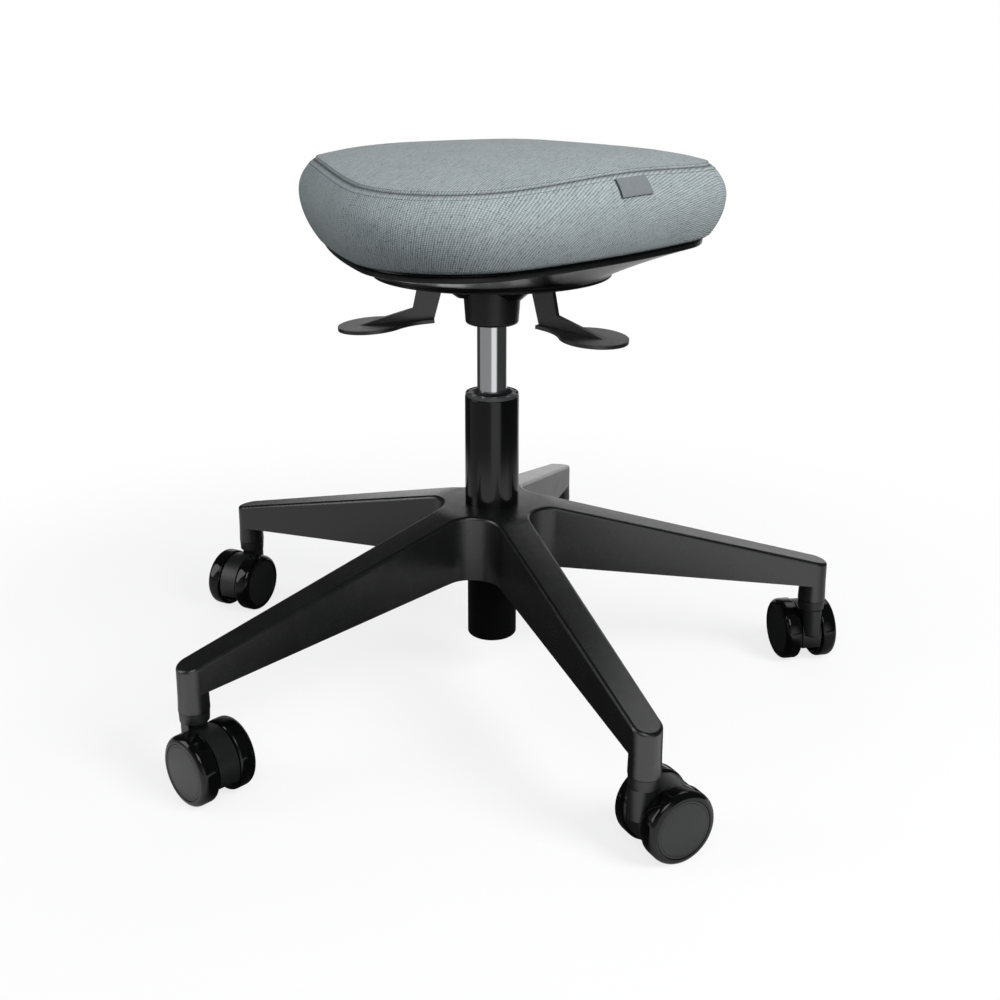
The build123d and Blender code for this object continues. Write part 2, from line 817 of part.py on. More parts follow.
with BuildPart() as caster_hood:
    collar_top = boss_bottom - swivel_gap
    collar_bottom = collar_top - post_collar_height
    with BuildSketch(Plane.XY.offset(post_foot)) as post:
        with Locations((-post_nose, 0)):
            Circle(hood_half)
        Rectangle(2 * post_nose, 2 * hood_half)
    extrude(amount=collar_bottom - post_foot)
    fillet(caster_hood.edges().group_by(Axis.Z)[0], post_foot_round)
    with Locations((0, 0, collar_bottom)):
        Cone(
            post_collar_radius - boss_flare,
            post_collar_radius,
            post_collar_height,
            align=(Align.CENTER, Align.CENTER, Align.MIN),
        )
    with BuildSketch(Plane.XZ) as hood_band:
        with Locations((trail, axle_height)):
            Circle(hood_radius)
            Circle(hood_radius - hood_wall, mode=Mode.SUBTRACT)
        with Locations((trail, hood_open_height)):
            Rectangle(3 * hood_radius, axle_height, align=(Align.CENTER, Align.MAX), mode=Mode.SUBTRACT)
    extrude(amount=hood_half, both=True)
    with BuildSketch(Plane.XZ) as hood_disc:
        with Locations((trail, axle_height)):
            Circle(hood_radius - hood_wall / 2)
        with Locations((trail, hood_open_height)):
            Rectangle(3 * hood_radius, axle_height, align=(Align.CENTER, Align.MAX), mode=Mode.SUBTRACT)
    extrude(amount=hood_web / 2, both=True)
    with BuildSketch(Plane.XZ) as axle_boss:
        with Locations((trail, axle_height)):
            Circle(wheel_hub_radius)
    extrude(amount=hood_half, both=True)
    with BuildSketch(Plane.XZ) as axle_bore:
        with Locations((trail, axle_height)):
            Circle(axle_radius)
    extrude(amount=hood_half, both=True, mode=Mode.SUBTRACT)
    with Locations((0, 0, stem_foot - stem_end_gap)):
        Cylinder(
            stem_low_radius + running_gap,
            boss_bottom,
            align=(Align.CENTER, Align.CENTER, Align.MIN),
            mode=Mode.SUBTRACT,
        )

with BuildPart() as caster_axle:
    with BuildSketch(Plane.XZ) as axle_end:
        with Locations((trail, axle_height)):
            Circle(axle_radius)
    extrude(amount=wheel_outside - cap_depth - axle_end_gap, both=True)


def wheel(side):
    """Dished wheel with a round outer shoulder and a recess for its cap."""
    bore = axle_radius + running_gap
    recess = wheel_outside - cap_depth
    with BuildPart() as body:
        with BuildSketch(Plane.YZ.offset(trail)) as section:
            with BuildLine():
                Polyline(
                    (side * wheel_inside, axle_height + bore),
                    (side * wheel_inside, axle_height + wheel_hub_radius),
                    (side * (wheel_inside + wheel_hollow), axle_height + wheel_hub_radius),
                    (side * (wheel_inside + wheel_hollow), axle_height + wheel_radius - wheel_rim),
                    (side * wheel_inside, axle_height + wheel_radius - wheel_rim),
                    (side * wheel_inside, axle_height + wheel_radius),
                    (side * wheel_outside, axle_height + wheel_radius),
                    (side * wheel_outside, axle_height + cap_radius + cap_gap),
                    (side * recess, axle_height + cap_radius + cap_gap),
                    (side * recess, axle_height + bore),
                    close=True,
                )
            make_face()
            tread = section.vertices().group_by(Axis.Y)[-1].sort_by(lambda v: abs(v.X))
            fillet(tread[0], wheel_inner_round)
            tread = section.vertices().sort_by(lambda v: abs(v.X) + v.Y)
            fillet(tread[-1], wheel_shoulder)
        revolve(axis=Axis((trail, 0, axle_height), (0, 1, 0)))
    return body


def cap(side):
    """Bevelled disc that closes the wheel's outer face."""
    low = wheel_outside - cap_depth
    high = wheel_outside - cap_proud
    with BuildPart() as body:
        with BuildSketch(Plane.YZ.offset(trail)) as section:
            with BuildLine():
                Polyline(
                    (side * low, axle_height),
                    (side * low, axle_height + cap_radius),
                    (side * (high - cap_bevel), axle_height + cap_radius),
                    (side * high, axle_height + cap_radius - cap_bevel),
                    (side * high, axle_height),
                    close=True,
                )
            make_face()
        revolve(axis=Axis((trail, 0, axle_height), (0, 1, 0)))
    return body


caster_pieces = {
    "caster_stem": caster_stem,
    "caster_hood": caster_hood,
    "caster_axle": caster_axle,
    "wheel_left": wheel(1),
    "wheel_right": wheel(-1),
    "cap_left": cap(1),
    "cap_right": cap(-1),
}

for number, arm_angle in enumerate(arm_angles, 1):
    stem_place = Location((*polar(caster_reach, arm_angle), 0), (0, 0, arm_angle + caster_turn))
    for piece_name, shape in caster_pieces.items():
        with BuildPart() as caster_piece:
            with Locations(stem_place):
                add(shape.part)
        save(caster_piece, f"{piece_name}_{number}")
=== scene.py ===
"""Looks of the ergonomic stool: upholstered seat, gas lift, five-star base and twin-wheel casters.

Metres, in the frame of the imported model: floor at z = 0, column on the Z axis, the seat's nose towards -Y.
"""

import json
import math

import bmesh
import bpy
from mathutils import Matrix, Vector


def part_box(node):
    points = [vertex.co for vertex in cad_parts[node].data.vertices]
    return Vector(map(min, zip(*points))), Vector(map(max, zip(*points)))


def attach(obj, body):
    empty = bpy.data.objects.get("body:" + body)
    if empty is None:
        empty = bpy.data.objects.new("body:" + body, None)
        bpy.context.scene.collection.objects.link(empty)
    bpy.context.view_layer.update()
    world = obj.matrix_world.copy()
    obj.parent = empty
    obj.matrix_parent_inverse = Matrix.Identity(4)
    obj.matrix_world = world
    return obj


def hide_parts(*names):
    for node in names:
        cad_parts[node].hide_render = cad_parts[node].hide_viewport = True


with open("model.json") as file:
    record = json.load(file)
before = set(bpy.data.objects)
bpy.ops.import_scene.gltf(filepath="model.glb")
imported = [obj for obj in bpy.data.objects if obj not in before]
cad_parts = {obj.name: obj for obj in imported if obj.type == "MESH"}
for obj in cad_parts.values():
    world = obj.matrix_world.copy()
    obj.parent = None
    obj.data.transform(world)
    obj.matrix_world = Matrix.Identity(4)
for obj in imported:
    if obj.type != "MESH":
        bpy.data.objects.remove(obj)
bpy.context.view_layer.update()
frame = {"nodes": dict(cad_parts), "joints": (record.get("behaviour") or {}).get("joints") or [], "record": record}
record = frame["record"]
node_body = {node: body for body, nodes in record["behaviour"]["bodies"].items() for node in nodes}
node_slot = {part["node"]: part["material_slot"] for part in record["subparts"]}
joints = {joint["name"]: joint for joint in frame["joints"]}
CASTERS = range(1, 6)
SIDES = {"left": 1, "right": -1}

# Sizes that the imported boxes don't give

SMOOTH_ANGLE = math.radians(35)
FLAT_ANGLE = math.radians(0.5)
TURNED_STEPS = 128
ARC_SEGMENTS = 6
EDGE_SEGMENTS = 3
MERGE = 1e-6

NOSE_ANGLE = math.radians(270)
CORNER_CENTRE = 0.116
CORNER_RADIUS = 0.088
SIDE_RADIUS = 0.812
SEAT_COLUMNS = 240
SEAM_LEVEL = 0.4988
SEAM_WAVE = 0.0033
SEAM_TILT = 0.0030
FOOT_RISE = 0.0020
FOOT_INSET = 0.0005
FOOT_SHRINK = 0.6
BULGE = 0.0150
BULGE_LEVEL = 0.0395
EDGE_SWELL = 0.0055
EDGE_REACH = 0.008
CROWN_DROP = 0.0025
SEAM_DEPTH = 0.0014
SEAM_HALF = 0.0012


# Modelling helpers


def pick(piece):
    """Make a piece the only selected and the active object."""
    bpy.ops.object.select_all(action="DESELECT")
    piece.select_set(True)
    bpy.context.view_layer.objects.active = piece


def edit(piece):
    """Open a piece in edit mode with all of it selected."""
    pick(piece)
    bpy.ops.object.mode_set(mode="EDIT")
    bpy.ops.mesh.select_all(action="SELECT")


def close_edit():
    """Merge doubles, point the faces outwards and leave edit mode."""
    bpy.ops.mesh.select_all(action="SELECT")
    bpy.ops.mesh.remove_doubles(threshold=MERGE)
    bpy.ops.mesh.normals_make_consistent(inside=False)
    bpy.ops.object.mode_set(mode="OBJECT")


def named(piece, name):
    """Give an object and its mesh one name."""
    piece.name = name
    piece.data.name = name
    return piece


def single_vertex(name):
    """A plane drawn together to one vertex at the origin, open in edit mode."""
    bpy.ops.object.select_all(action="DESELECT")
    bpy.ops.mesh.primitive_plane_add(size=1)
    piece = named(bpy.context.object, name)
    bpy.ops.object.mode_set(mode="EDIT")
    bpy.ops.mesh.select_all(action="SELECT")
    bpy.ops.mesh.merge(type="CENTER")
    return piece


def draw(points, closed=False):
    """Move the one vertex to the first point and extrude it along the others."""
    points = [Vector(point) for point in points]
    bpy.ops.transform.translate(value=points[0])
    for before, after in zip(points, points[1:]):
        bpy.ops.mesh.extrude_region_move(TRANSFORM_OT_translate={"value": after - before})
    if closed:
        select_vertices(lambda co: min((co - points[0]).length, (co - points[-1]).length) < MERGE)
        bpy.ops.mesh.edge_face_add()


def select_vertices(wanted):
    """Select the vertices whose place passes a test."""
    shape = bmesh.from_edit_mesh(bpy.context.object.data)
    for part in (*shape.faces, *shape.edges, *shape.verts):
        part.select = False
    for vertex in shape.verts:
        vertex.select = wanted(vertex.co)
    shape.select_flush_mode()
    bmesh.update_edit_mesh(bpy.context.object.data)


def select_faces(wanted):
    """Select the faces whose centre and normal pass a test."""
    shape = bmesh.from_edit_mesh(bpy.context.object.data)
    for part in (*shape.faces, *shape.edges, *shape.verts):
        part.select = False
    for face in shape.faces:
        if wanted(face.calc_center_median(), face.normal):
            face.select_set(True)
    bmesh.update_edit_mesh(bpy.context.object.data)


def round_corner(before, corner, after, radius):
    """Bevel one vertex of a drawn profile to an arc."""
    turn = (corner - before).angle(after - corner)
    select_vertices(lambda co: (co - corner).length < MERGE)
    bpy.ops.mesh.bevel(
        offset_type="OFFSET", offset=radius * math.tan(turn / 2), segments=ARC_SEGMENTS, affect="VERTICES"
    )


def turned(name, profile, closed=True, steps=TURNED_STEPS):
    """Piece turned about Z. The profile holds (radius, height) or (radius, height, rounding)."""
    piece = single_vertex(name)
    points = [Vector((corner[0], 0, corner[1])) for corner in profile]
    draw(points, closed)
    for index, corner in enumerate(profile):
        if len(corner) == 3:
            round_corner(points[index - 1], points[index], points[(index + 1) % len(points)], corner[2])
    bpy.ops.mesh.select_all(action="SELECT")
    bpy.ops.mesh.spin(steps=steps, angle=2 * math.pi, center=(0, 0, 0), axis=(0, 0, 1))
    close_edit()
    bpy.ops.object.shade_smooth_by_angle(angle=SMOOTH_ANGLE)
    return piece


def modify(piece, kind, **settings):
    """Add a modifier with its settings and apply it."""
    pick(piece)
    modifier = piece.modifiers.new(kind.title(), kind)
    for key, value in settings.items():
        setattr(modifier, key, value)
    bpy.ops.object.modifier_apply(modifier=modifier.name)


def copied(piece, name, place):
    """Copy of a finished piece with its own mesh, moved to its place."""
    copy = named(piece.copy(), name)
    copy.data = piece.data.copy()
    copy.data.transform(place)
    bpy.context.scene.collection.objects.link(copy)
    return named(copy, name)


def softened(name, node, rounding):
    """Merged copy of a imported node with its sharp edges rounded."""
    piece = bpy.data.objects.new(name, frame["nodes"][node].data.copy())
    bpy.context.scene.collection.objects.link(piece)
    named(piece, name)
    edit(piece)
    bpy.ops.mesh.remove_doubles(threshold=10 * MERGE)
    bpy.ops.mesh.customdata_custom_splitnormals_clear()
    bpy.ops.mesh.dissolve_limited(angle_limit=FLAT_ANGLE)
    bpy.ops.object.mode_set(mode="OBJECT")
    modify(
        piece, "BEVEL", width=rounding, segments=EDGE_SEGMENTS,
        limit_method="ANGLE", angle_limit=SMOOTH_ANGLE, use_clamp_overlap=True,
    )
    pick(piece)
    bpy.ops.object.shade_smooth_by_angle(angle=SMOOTH_ANGLE)
    modify(piece, "WEIGHTED_NORMAL", keep_sharp=True)
    return piece


def stand_for(piece, *nodes):
    """Let a piece take the place, body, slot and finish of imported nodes."""
    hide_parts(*nodes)
    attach(piece, node_body[nodes[0]])
    dress(piece, node_slot[nodes[0]])


def dress(piece, slot):
    """Give a piece the finish of a material slot."""
    piece.data.materials.clear()
    piece.data.materials.append(finishes[slot])


# Shader helpers


class Wire:
    """Shader socket that takes part in arithmetic: an expression adds its Math nodes."""

    def __init__(self, finish, socket):
        self.finish = finish
        self.socket = socket

    def __add__(self, other):
        return self.finish.math("ADD", self, other)

    __radd__ = __add__

    def __sub__(self, other):
        return self.finish.math("SUBTRACT", self, other)

    def __rsub__(self, other):
        return self.finish.math("SUBTRACT", other, self)

    def __mul__(self, other):
        return self.finish.math("MULTIPLY", self, other)

    __rmul__ = __mul__

    def __truediv__(self, other):
        return self.finish.math("DIVIDE", self, other)

    def __pow__(self, other):
        return self.finish.math("POWER", self, other)

    def wave(self):
        """Sine of the value, from 0 to 1."""
        return 0.5 + 0.5 * self.finish.math("SINE", self)

    def smooth(self, low, high):
        """Smooth step from 0 at low to 1 at high."""
        inputs = {"Value": self, "From Min": low, "From Max": high}
        return self.finish.node("ShaderNodeMapRange", inputs, interpolation_type="SMOOTHSTEP")


class Shading:
    """Node tree that nodes are added to."""

    def __init__(self, tree):
        self.tree = tree

    def node(self, kind, inputs=None, output=0, **settings):
        """Add a node: its settings first, then the values or links of its sockets."""
        made = self.tree.nodes.new(kind)
        for key, value in settings.items():
            setattr(made, key, value)
        for key, value in (inputs or {}).items():
            self.feed(made.inputs[key], value)
        return Wire(self, made.outputs[output])

    def feed(self, socket, value):
        """Link a wire to a socket, or set the socket's own value."""
        if isinstance(value, Wire):
            self.tree.links.new(value.socket, socket)
        else:
            socket.default_value = value

    def math(self, operation, *values):
        """Math node of an operation on values."""
        return self.node("ShaderNodeMath", dict(enumerate(values)), operation=operation)

    def mix(self, factor, first, second):
        """Colour between two colours."""
        return self.node("ShaderNodeMix", {0: factor, 6: first, 7: second}, output=2, data_type="RGBA")

    def place(self):
        """Object coordinates."""
        return self.node("ShaderNodeTexCoord", output=3)

    def noise(self, vector, scale, detail=2.0, roughness=0.5):
        """Noise from 0 to 1 at a number of waves to the metre."""
        inputs = {"Vector": vector, "Scale": scale, "Detail": detail, "Roughness": roughness}
        return self.node("ShaderNodeTexNoise", inputs)

    def axes(self, vector):
        """X, Y and Z of a vector."""
        split = self.tree.nodes.new("ShaderNodeSeparateXYZ")
        self.tree.links.new(vector.socket, split.inputs[0])
        return [Wire(self, socket) for socket in split.outputs]

    def blend(self, factor, first, second):
        """Shader between two shaders."""
        return self.node("ShaderNodeMixShader", {0: factor, 1: first, 2: second})

    def ray(self, kind):
        """1 on rays of a kind, such as Camera or Glossy."""
        return self.node("ShaderNodeLightPath", output=f"Is {kind} Ray")

    def between(self, value, low, high, soft):
        """1 between two values and 0 outside, with soft edges."""
        return value.smooth(low - soft, low + soft) * (1 - value.smooth(high - soft, high + soft))


class Finish(Shading):
    """Material with its surface shader."""

    def __init__(self, name):
        self.material = bpy.data.materials.new(name)
        self.material.use_nodes = True
        super().__init__(self.material.node_tree)
        self.shader = self.tree.nodes["Principled BSDF"]

    def bump(self, height, distance, strength=1.0):
        """Normal of a relief whose full height is a distance in metres."""
        inputs = {"Height": height, "Distance": distance, "Strength": strength}
        return self.node("ShaderNodeBump", inputs)

    def set(self, **values):
        """Feed sockets of the surface shader, named with underscores for spaces."""
        for key, value in values.items():
            self.feed(self.shader.inputs[key.replace("_", " ")], value)
        return self.material


# Finishes: colours are linear, and each pattern's size is in metres or in waves to the metre

COOL = (0.95, 1.0, 1.03)
STEEL_TINT = (0.97, 1.0, 1.02)
FLOW_CLOUDS = 38.0
RIPPLES, RIPPLE_HEIGHT, SCUFFS = 55.0, 0.00003, 420.0
DRAWING_LINES = (900.0, 900.0, 12.0)
BOARD_GRAIN, BOARD_RELIEF = (12.0, 160.0, 420.0), 0.0002
BOARD_DEEP, BOARD_BRIGHT = (0.36, 0.24, 0.13, 1.0), (0.62, 0.46, 0.29, 1.0)
FOAM_CELLS, FOAM_RELIEF = 700.0, 0.0005
FOAM_DEEP, FOAM_BRIGHT = (0.55, 0.52, 0.44, 1.0), (0.80, 0.78, 0.70, 1.0)


def grey(level, tint=COOL):
    """Colour of a grey level with a tint."""
    return (*(level * part for part in tint), 1.0)


def moulded(name, level, roughness, grain, depth, specular=0.5):
    """Moulded plastic or painted steel: fine grain, slight flow clouds and uneven sheen."""
    finish = Finish(name)
    place = finish.place()
    fine = finish.noise(place, grain, 3.0, 0.6)
    cloud = finish.noise(place, FLOW_CLOUDS)
    colour = finish.mix(cloud.smooth(0.3, 0.7), grey(level * 0.86), grey(level * 1.14))
    colour = finish.mix(fine.smooth(0.55, 0.8) * 0.35, colour, grey(level * 1.9))
    return finish.set(
        Base_Color=colour,
        Roughness=roughness + 0.10 * (cloud - 0.5) + 0.12 * (fine - 0.5),
        Specular_IOR_Level=specular,
        Normal=finish.bump(fine, depth),
    )


def polished(name, level, roughness, specular):
    """Polished black plastic or enamel with a faint ripple and hairline scuffs."""
    finish = Finish(name)
    place = finish.place()
    ripple = finish.noise(place, RIPPLES, 1.0)
    scuff = finish.noise(place, SCUFFS, 4.0, 0.65).smooth(0.62, 0.78)
    return finish.set(
        Base_Color=finish.mix(scuff * 0.3, grey(level), grey(level * 2.2)),
        Roughness=roughness + 0.10 * scuff + 0.04 * (ripple - 0.5),
        Specular_IOR_Level=specular,
        Normal=finish.bump(ripple, RIPPLE_HEIGHT),
    )


def drawn_metal(name, level, roughness):
    """Bright metal with fine drawing lines along Z."""
    finish = Finish(name)
    stretch = finish.node("ShaderNodeMapping", {"Vector": finish.place(), "Scale": DRAWING_LINES})
    lines = finish.noise(stretch, 1.0, 3.0)
    return finish.set(
        Base_Color=finish.mix(lines, grey(level * 0.9, STEEL_TINT), grey(level, STEEL_TINT)),
        Metallic=1.0,
        Roughness=roughness + 0.06 * lines,
    )


WALE_PITCH, WALE_ANGLE, WALE_STRAY = 0.0021, math.radians(78), 0.0016
BEAD_PITCH = 0.0019
YARN_LENGTH = 7 * WALE_PITCH
STRAYS, FLECKS, FUZZ, WEAR = 240.0, 420.0, 2600.0, 22.0
CLOTH_DEEP, CLOTH_BRIGHT = (0.100, 0.125, 0.134, 1.0), (0.505, 0.562, 0.578, 1.0)
CLOTH_RELIEF = 0.00045
# Painted shade of the seam's groove: the dark grey that the cover's colour is drawn towards along the seam line
SEAM_PAINTED_SHADE = (0.028, 0.033, 0.035, 1.0)
TAPE_RIB, TAPE_WARP, TAPE_CLOUDS, TAPE_RELIEF = 0.0007, 0.0006, 300.0, 0.0001
TAPE_DEEP, TAPE_BRIGHT = (0.135, 0.150, 0.162, 1.0), (0.250, 0.270, 0.285, 1.0)
THREAD_STRANDS, THREAD_RELIEF = 1800.0, 0.0001
THREAD_DEEP, THREAD_BRIGHT = (0.070, 0.080, 0.085, 1.0), (0.160, 0.175, 0.182, 1.0)


def twill():
    """Heathered twill: raised wales broken into floats, with lighter and darker yarns, and painted shade along the
    seam.
    """
    finish = Finish("cover_fabric")
    flat = finish.node("ShaderNodeUVMap", uv_map="cloth")
    x, y, _ = finish.axes(flat)
    stray = finish.noise(flat, STRAYS, 3.0) - 0.5
    across = math.cos(WALE_ANGLE) * y - math.sin(WALE_ANGLE) * x + WALE_STRAY * stray
    along = math.cos(WALE_ANGLE) * x + math.sin(WALE_ANGLE) * y
    wale = (across * (2 * math.pi / WALE_PITCH)).wave()
    beads = (along * (2 * math.pi / BEAD_PITCH) + across * (math.pi / WALE_PITCH)).wave()
    height = wale ** 0.8 * (0.40 + 0.60 * beads)
    yarn_place = finish.node("ShaderNodeCombineXYZ", {0: across / WALE_PITCH, 1: along / YARN_LENGTH})
    yarn = finish.noise(yarn_place, 1.0)
    fleck = finish.noise(flat, FLECKS).smooth(0.54, 0.70)
    fuzz = finish.noise(flat, FUZZ)
    worn = finish.noise(flat, WEAR, 3.0)
    share = 0.29 + 0.62 * height - 0.30 * fleck
    share = share + 0.5 * (yarn - 0.5) + 0.25 * (fuzz - 0.5) + 0.2 * (worn - 0.5)
    colour = finish.mix(share, CLOTH_DEEP, CLOTH_BRIGHT)
    # Painted shade along the seam groove, as strong as the seam_shade attribute gives
    seam = finish.node("ShaderNodeAttribute", output=2, attribute_name="seam_shade")
    colour = finish.mix(seam, colour, SEAM_PAINTED_SHADE)
    return finish.set(
        Base_Color=colour,
        Roughness=0.92,
        Specular_IOR_Level=0.15,
        Sheen_Weight=0.12,
        Sheen_Roughness=0.5,
        Normal=finish.bump(height + 0.35 * fuzz, CLOTH_RELIEF, 0.8),
    )


def woven_tape():
    """Plain ribbed tape of the sewn tab."""
    finish = Finish("label_fabric")
    x, y, _ = finish.axes(finish.node("ShaderNodeUVMap", uv_map="tape"))
    warp = (x * (2 * math.pi / TAPE_WARP)).wave()
    ribs = (y * (2 * math.pi / TAPE_RIB)).wave() * (0.7 + 0.3 * warp)
    cloud = finish.noise(finish.place(), TAPE_CLOUDS, 3.0)
    return finish.set(
        Base_Color=finish.mix(0.6 * ribs + 0.4 * cloud, TAPE_DEEP, TAPE_BRIGHT),
        Roughness=0.8,
        Specular_IOR_Level=0.25,
        Normal=finish.bump(ribs, TAPE_RELIEF),
    )


def thread():
    """Dark sewing thread with its twist."""
    finish = Finish("seam_thread")
    strand = finish.noise(finish.place(), THREAD_STRANDS)
    colour = finish.mix(strand, THREAD_DEEP, THREAD_BRIGHT)
    return finish.set(Base_Color=colour, Roughness=0.7, Normal=finish.bump(strand, THREAD_RELIEF))


def plywood():
    """Board edge and face with long grain."""
    finish = Finish("board_wood")
    stretch = finish.node("ShaderNodeMapping", {"Vector": finish.place(), "Scale": BOARD_GRAIN})
    grain = finish.noise(stretch, 1.0, 4.0, 0.6)
    return finish.set(
        Base_Color=finish.mix(grain, BOARD_DEEP, BOARD_BRIGHT),
        Roughness=0.55 + 0.2 * grain,
        Normal=finish.bump(grain, BOARD_RELIEF),
    )


def open_foam():
    """Cut foam with open cells."""
    finish = Finish("foam")
    cells = finish.noise(finish.place(), FOAM_CELLS, 3.0, 0.7)
    colour = finish.mix(cells, FOAM_DEEP, FOAM_BRIGHT)
    return finish.set(Base_Color=colour, Roughness=0.95, Normal=finish.bump(cells, FOAM_RELIEF))


finishes = {
    "base_plastic": moulded("base_plastic", 0.005, 0.25, 2400.0, 0.00008, specular=0.9),
    "tube_black": polished("tube_black", 0.003, 0.14, specular=0.4),
    "bush_plastic": moulded("bush_plastic", 0.07, 0.40, 1800.0, 0.00005),
    "bright_chrome": drawn_metal("bright_chrome", 0.72, 0.10),
    "steel": drawn_metal("steel", 0.55, 0.28),
    "plate_steel": moulded("plate_steel", 0.02, 0.45, 900.0, 0.0001),
    "housing_plastic": moulded("housing_plastic", 0.008, 0.36, 2000.0, 0.00006, specular=0.4),
    "pan_plastic": moulded("pan_plastic", 0.006, 0.30, 2000.0, 0.00005, specular=0.25),
    "lever_plastic": moulded("lever_plastic", 0.007, 0.34, 2200.0, 0.00008, specular=0.8),
    "wheel_gloss": polished("wheel_gloss", 0.002, 0.08, specular=0.35),
    "cap_plastic": moulded("cap_plastic", 0.012, 0.40, 2400.0, 0.00008, specular=0.5),
    "hood_plastic": moulded("hood_plastic", 0.008, 0.40, 2400.0, 0.00008, specular=0.7),
    "board_wood": plywood(),
    "foam": open_foam(),
    "cover_fabric": twill(),
    "label_fabric": woven_tape(),
}
thread_finish = thread()

for node, cad_piece in frame["nodes"].items():
    cad_piece.material_slots[0].material = finishes[node_slot[node]]


# Seat outline: a rounded triangle of tangent arcs

side_span = 4 * (SIDE_RADIUS - CORNER_RADIUS) ** 2 - 3 * CORNER_CENTRE**2
SIDE_CENTRE = (math.sqrt(side_span) - CORNER_CENTRE) / 2
SPREAD = math.atan2(SIDE_CENTRE * math.sin(math.pi / 3), CORNER_CENTRE + SIDE_CENTRE / 2)


def corner_turn(angle):
    """Angle from the nearest corner of the seat, up to a sixth of a turn either way."""
    return (angle - NOSE_ANGLE + math.pi / 3) % (2 * math.pi / 3) - math.pi / 3


def outline_reach(angle, grow):
    """Distance from the column to the seat's outline, grown beyond the seam line."""
    turn = abs(corner_turn(angle))
    corner = CORNER_RADIUS + grow
    side = SIDE_RADIUS + grow
    if turn < math.atan2(corner * math.sin(SPREAD), CORNER_CENTRE + corner * math.cos(SPREAD)):
        return CORNER_CENTRE * math.cos(turn) + math.sqrt(corner**2 - (CORNER_CENTRE * math.sin(turn)) ** 2)
    lean = math.pi / 3 - turn
    return math.sqrt(side**2 - (SIDE_CENTRE * math.sin(lean)) ** 2) - SIDE_CENTRE * math.cos(lean)


def angle_of(co):
    """Angle of a place round the column."""
    return math.atan2(co.y, co.x)


def lofted(name, rings):
    """Wall extruded from ring to ring, each ring a place for every angle, open in edit mode."""
    bpy.ops.object.select_all(action="DESELECT")
    bpy.ops.mesh.primitive_circle_add(vertices=SEAT_COLUMNS, radius=CORNER_CENTRE)
    piece = named(bpy.context.object, name)
    bpy.ops.object.mode_set(mode="EDIT")
    bpy.ops.mesh.select_all(action="SELECT")
    shape = bmesh.from_edit_mesh(piece.data)
    shape.verts.layers.int.new("row")
    for vertex in shape.verts:
        vertex.co = rings[0](angle_of(vertex.co))
    for number, ring in enumerate(rings[1:], 1):
        bpy.ops.mesh.extrude_edges_move()
        shape = bmesh.from_edit_mesh(piece.data)
        row_layer = shape.verts.layers.int["row"]
        for vertex in shape.verts:
            if vertex.select:
                vertex.co = ring(angle_of(vertex.co))
                vertex[row_layer] = number
        bmesh.update_edit_mesh(piece.data)
    return piece


# Cushion

seat_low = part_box("fabric_cover")[0].z + FOOT_RISE
seat_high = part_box("fabric_cover")[1].z - CROWN_DROP
SIDE_ROWS = 16
TOP_BAND, TOP_ROWS = 0.040, 8
CORE_SHARE, CORE_ROWS = 0.55, 8

# Rings beside the seam by their distance from it: the stitches lie on the third ring each way
RINGS_BELOW = (0.0048, 0.0036, 0.0020, 0.0009)
RINGS_ABOVE = (0.0009, 0.0019, 0.0030, 0.0048)
SEAM_ROW = SIDE_ROWS + len(RINGS_BELOW)
# Share of painted shade on the seam ring and on the ring each side of it
SEAM_SHADE = {-1: 0.40, 0: 1.0, 1: 0.40}
STITCH_ROW = 3
SIDE_STRETCH = 1.06


def seam_level(angle):
    """Height of the seam, lower at the three corners and lowest at the nose."""
    wave = SEAM_WAVE * math.cos(3 * corner_turn(angle))
    tilt = SEAM_TILT * math.cos(angle - NOSE_ANGLE)
    return SEAM_LEVEL - wave - tilt


def side_grow(height, seam_height):
    """How far the side stands out from the seam line at a height above the cushion's foot."""
    rise = height / seam_height * (SEAM_LEVEL - seat_low)
    fall = BULGE / (SEAM_LEVEL - seat_low - BULGE_LEVEL) ** 2
    if rise < BULGE_LEVEL:
        fall = (BULGE + FOOT_INSET) / BULGE_LEVEL**2
    return BULGE - fall * (rise - BULGE_LEVEL) ** 2


def crown_level(angle, inside):
    """Height of the top panel at a distance inside the seam."""
    edge = EDGE_SWELL * (1 - math.exp(-inside / EDGE_REACH))
    foot = seam_level(angle) + EDGE_SWELL
    dome = 1 - (1 - inside / outline_reach(angle, 0)) ** 2
    return foot - EDGE_SWELL + edge + (seat_high - foot) * dome


def seam_pinch(distance):
    """How far the cloth is drawn in at a distance from the seam."""
    return SEAM_DEPTH * math.exp(-((distance / SEAM_HALF) ** 2))


def side_point(angle, drop):
    """Point of the side panel at a drop below the seam."""
    height = seam_level(angle) - seat_low - drop
    reach = outline_reach(angle, side_grow(height, seam_level(angle) - seat_low)) - seam_pinch(drop)
    return Vector((reach * math.cos(angle), reach * math.sin(angle), seat_low + height))


def top_point(angle, inside):
    """Point of the top panel at a distance inside the seam, up to the top band's width."""
    reach = outline_reach(angle, -inside) - seam_pinch(inside)
    level = crown_level(angle, inside) - seam_pinch(inside)
    return Vector((reach * math.cos(angle), reach * math.sin(angle), level))


def core_point(angle, share):
    """Point of the top panel's core, at a share of the way from the band to the column."""
    rim = outline_reach(angle, -TOP_BAND)
    reach = rim * (1 - share)
    level = crown_level(angle, outline_reach(angle, 0) - reach)
    return Vector((reach * math.cos(angle), reach * math.sin(angle), level))


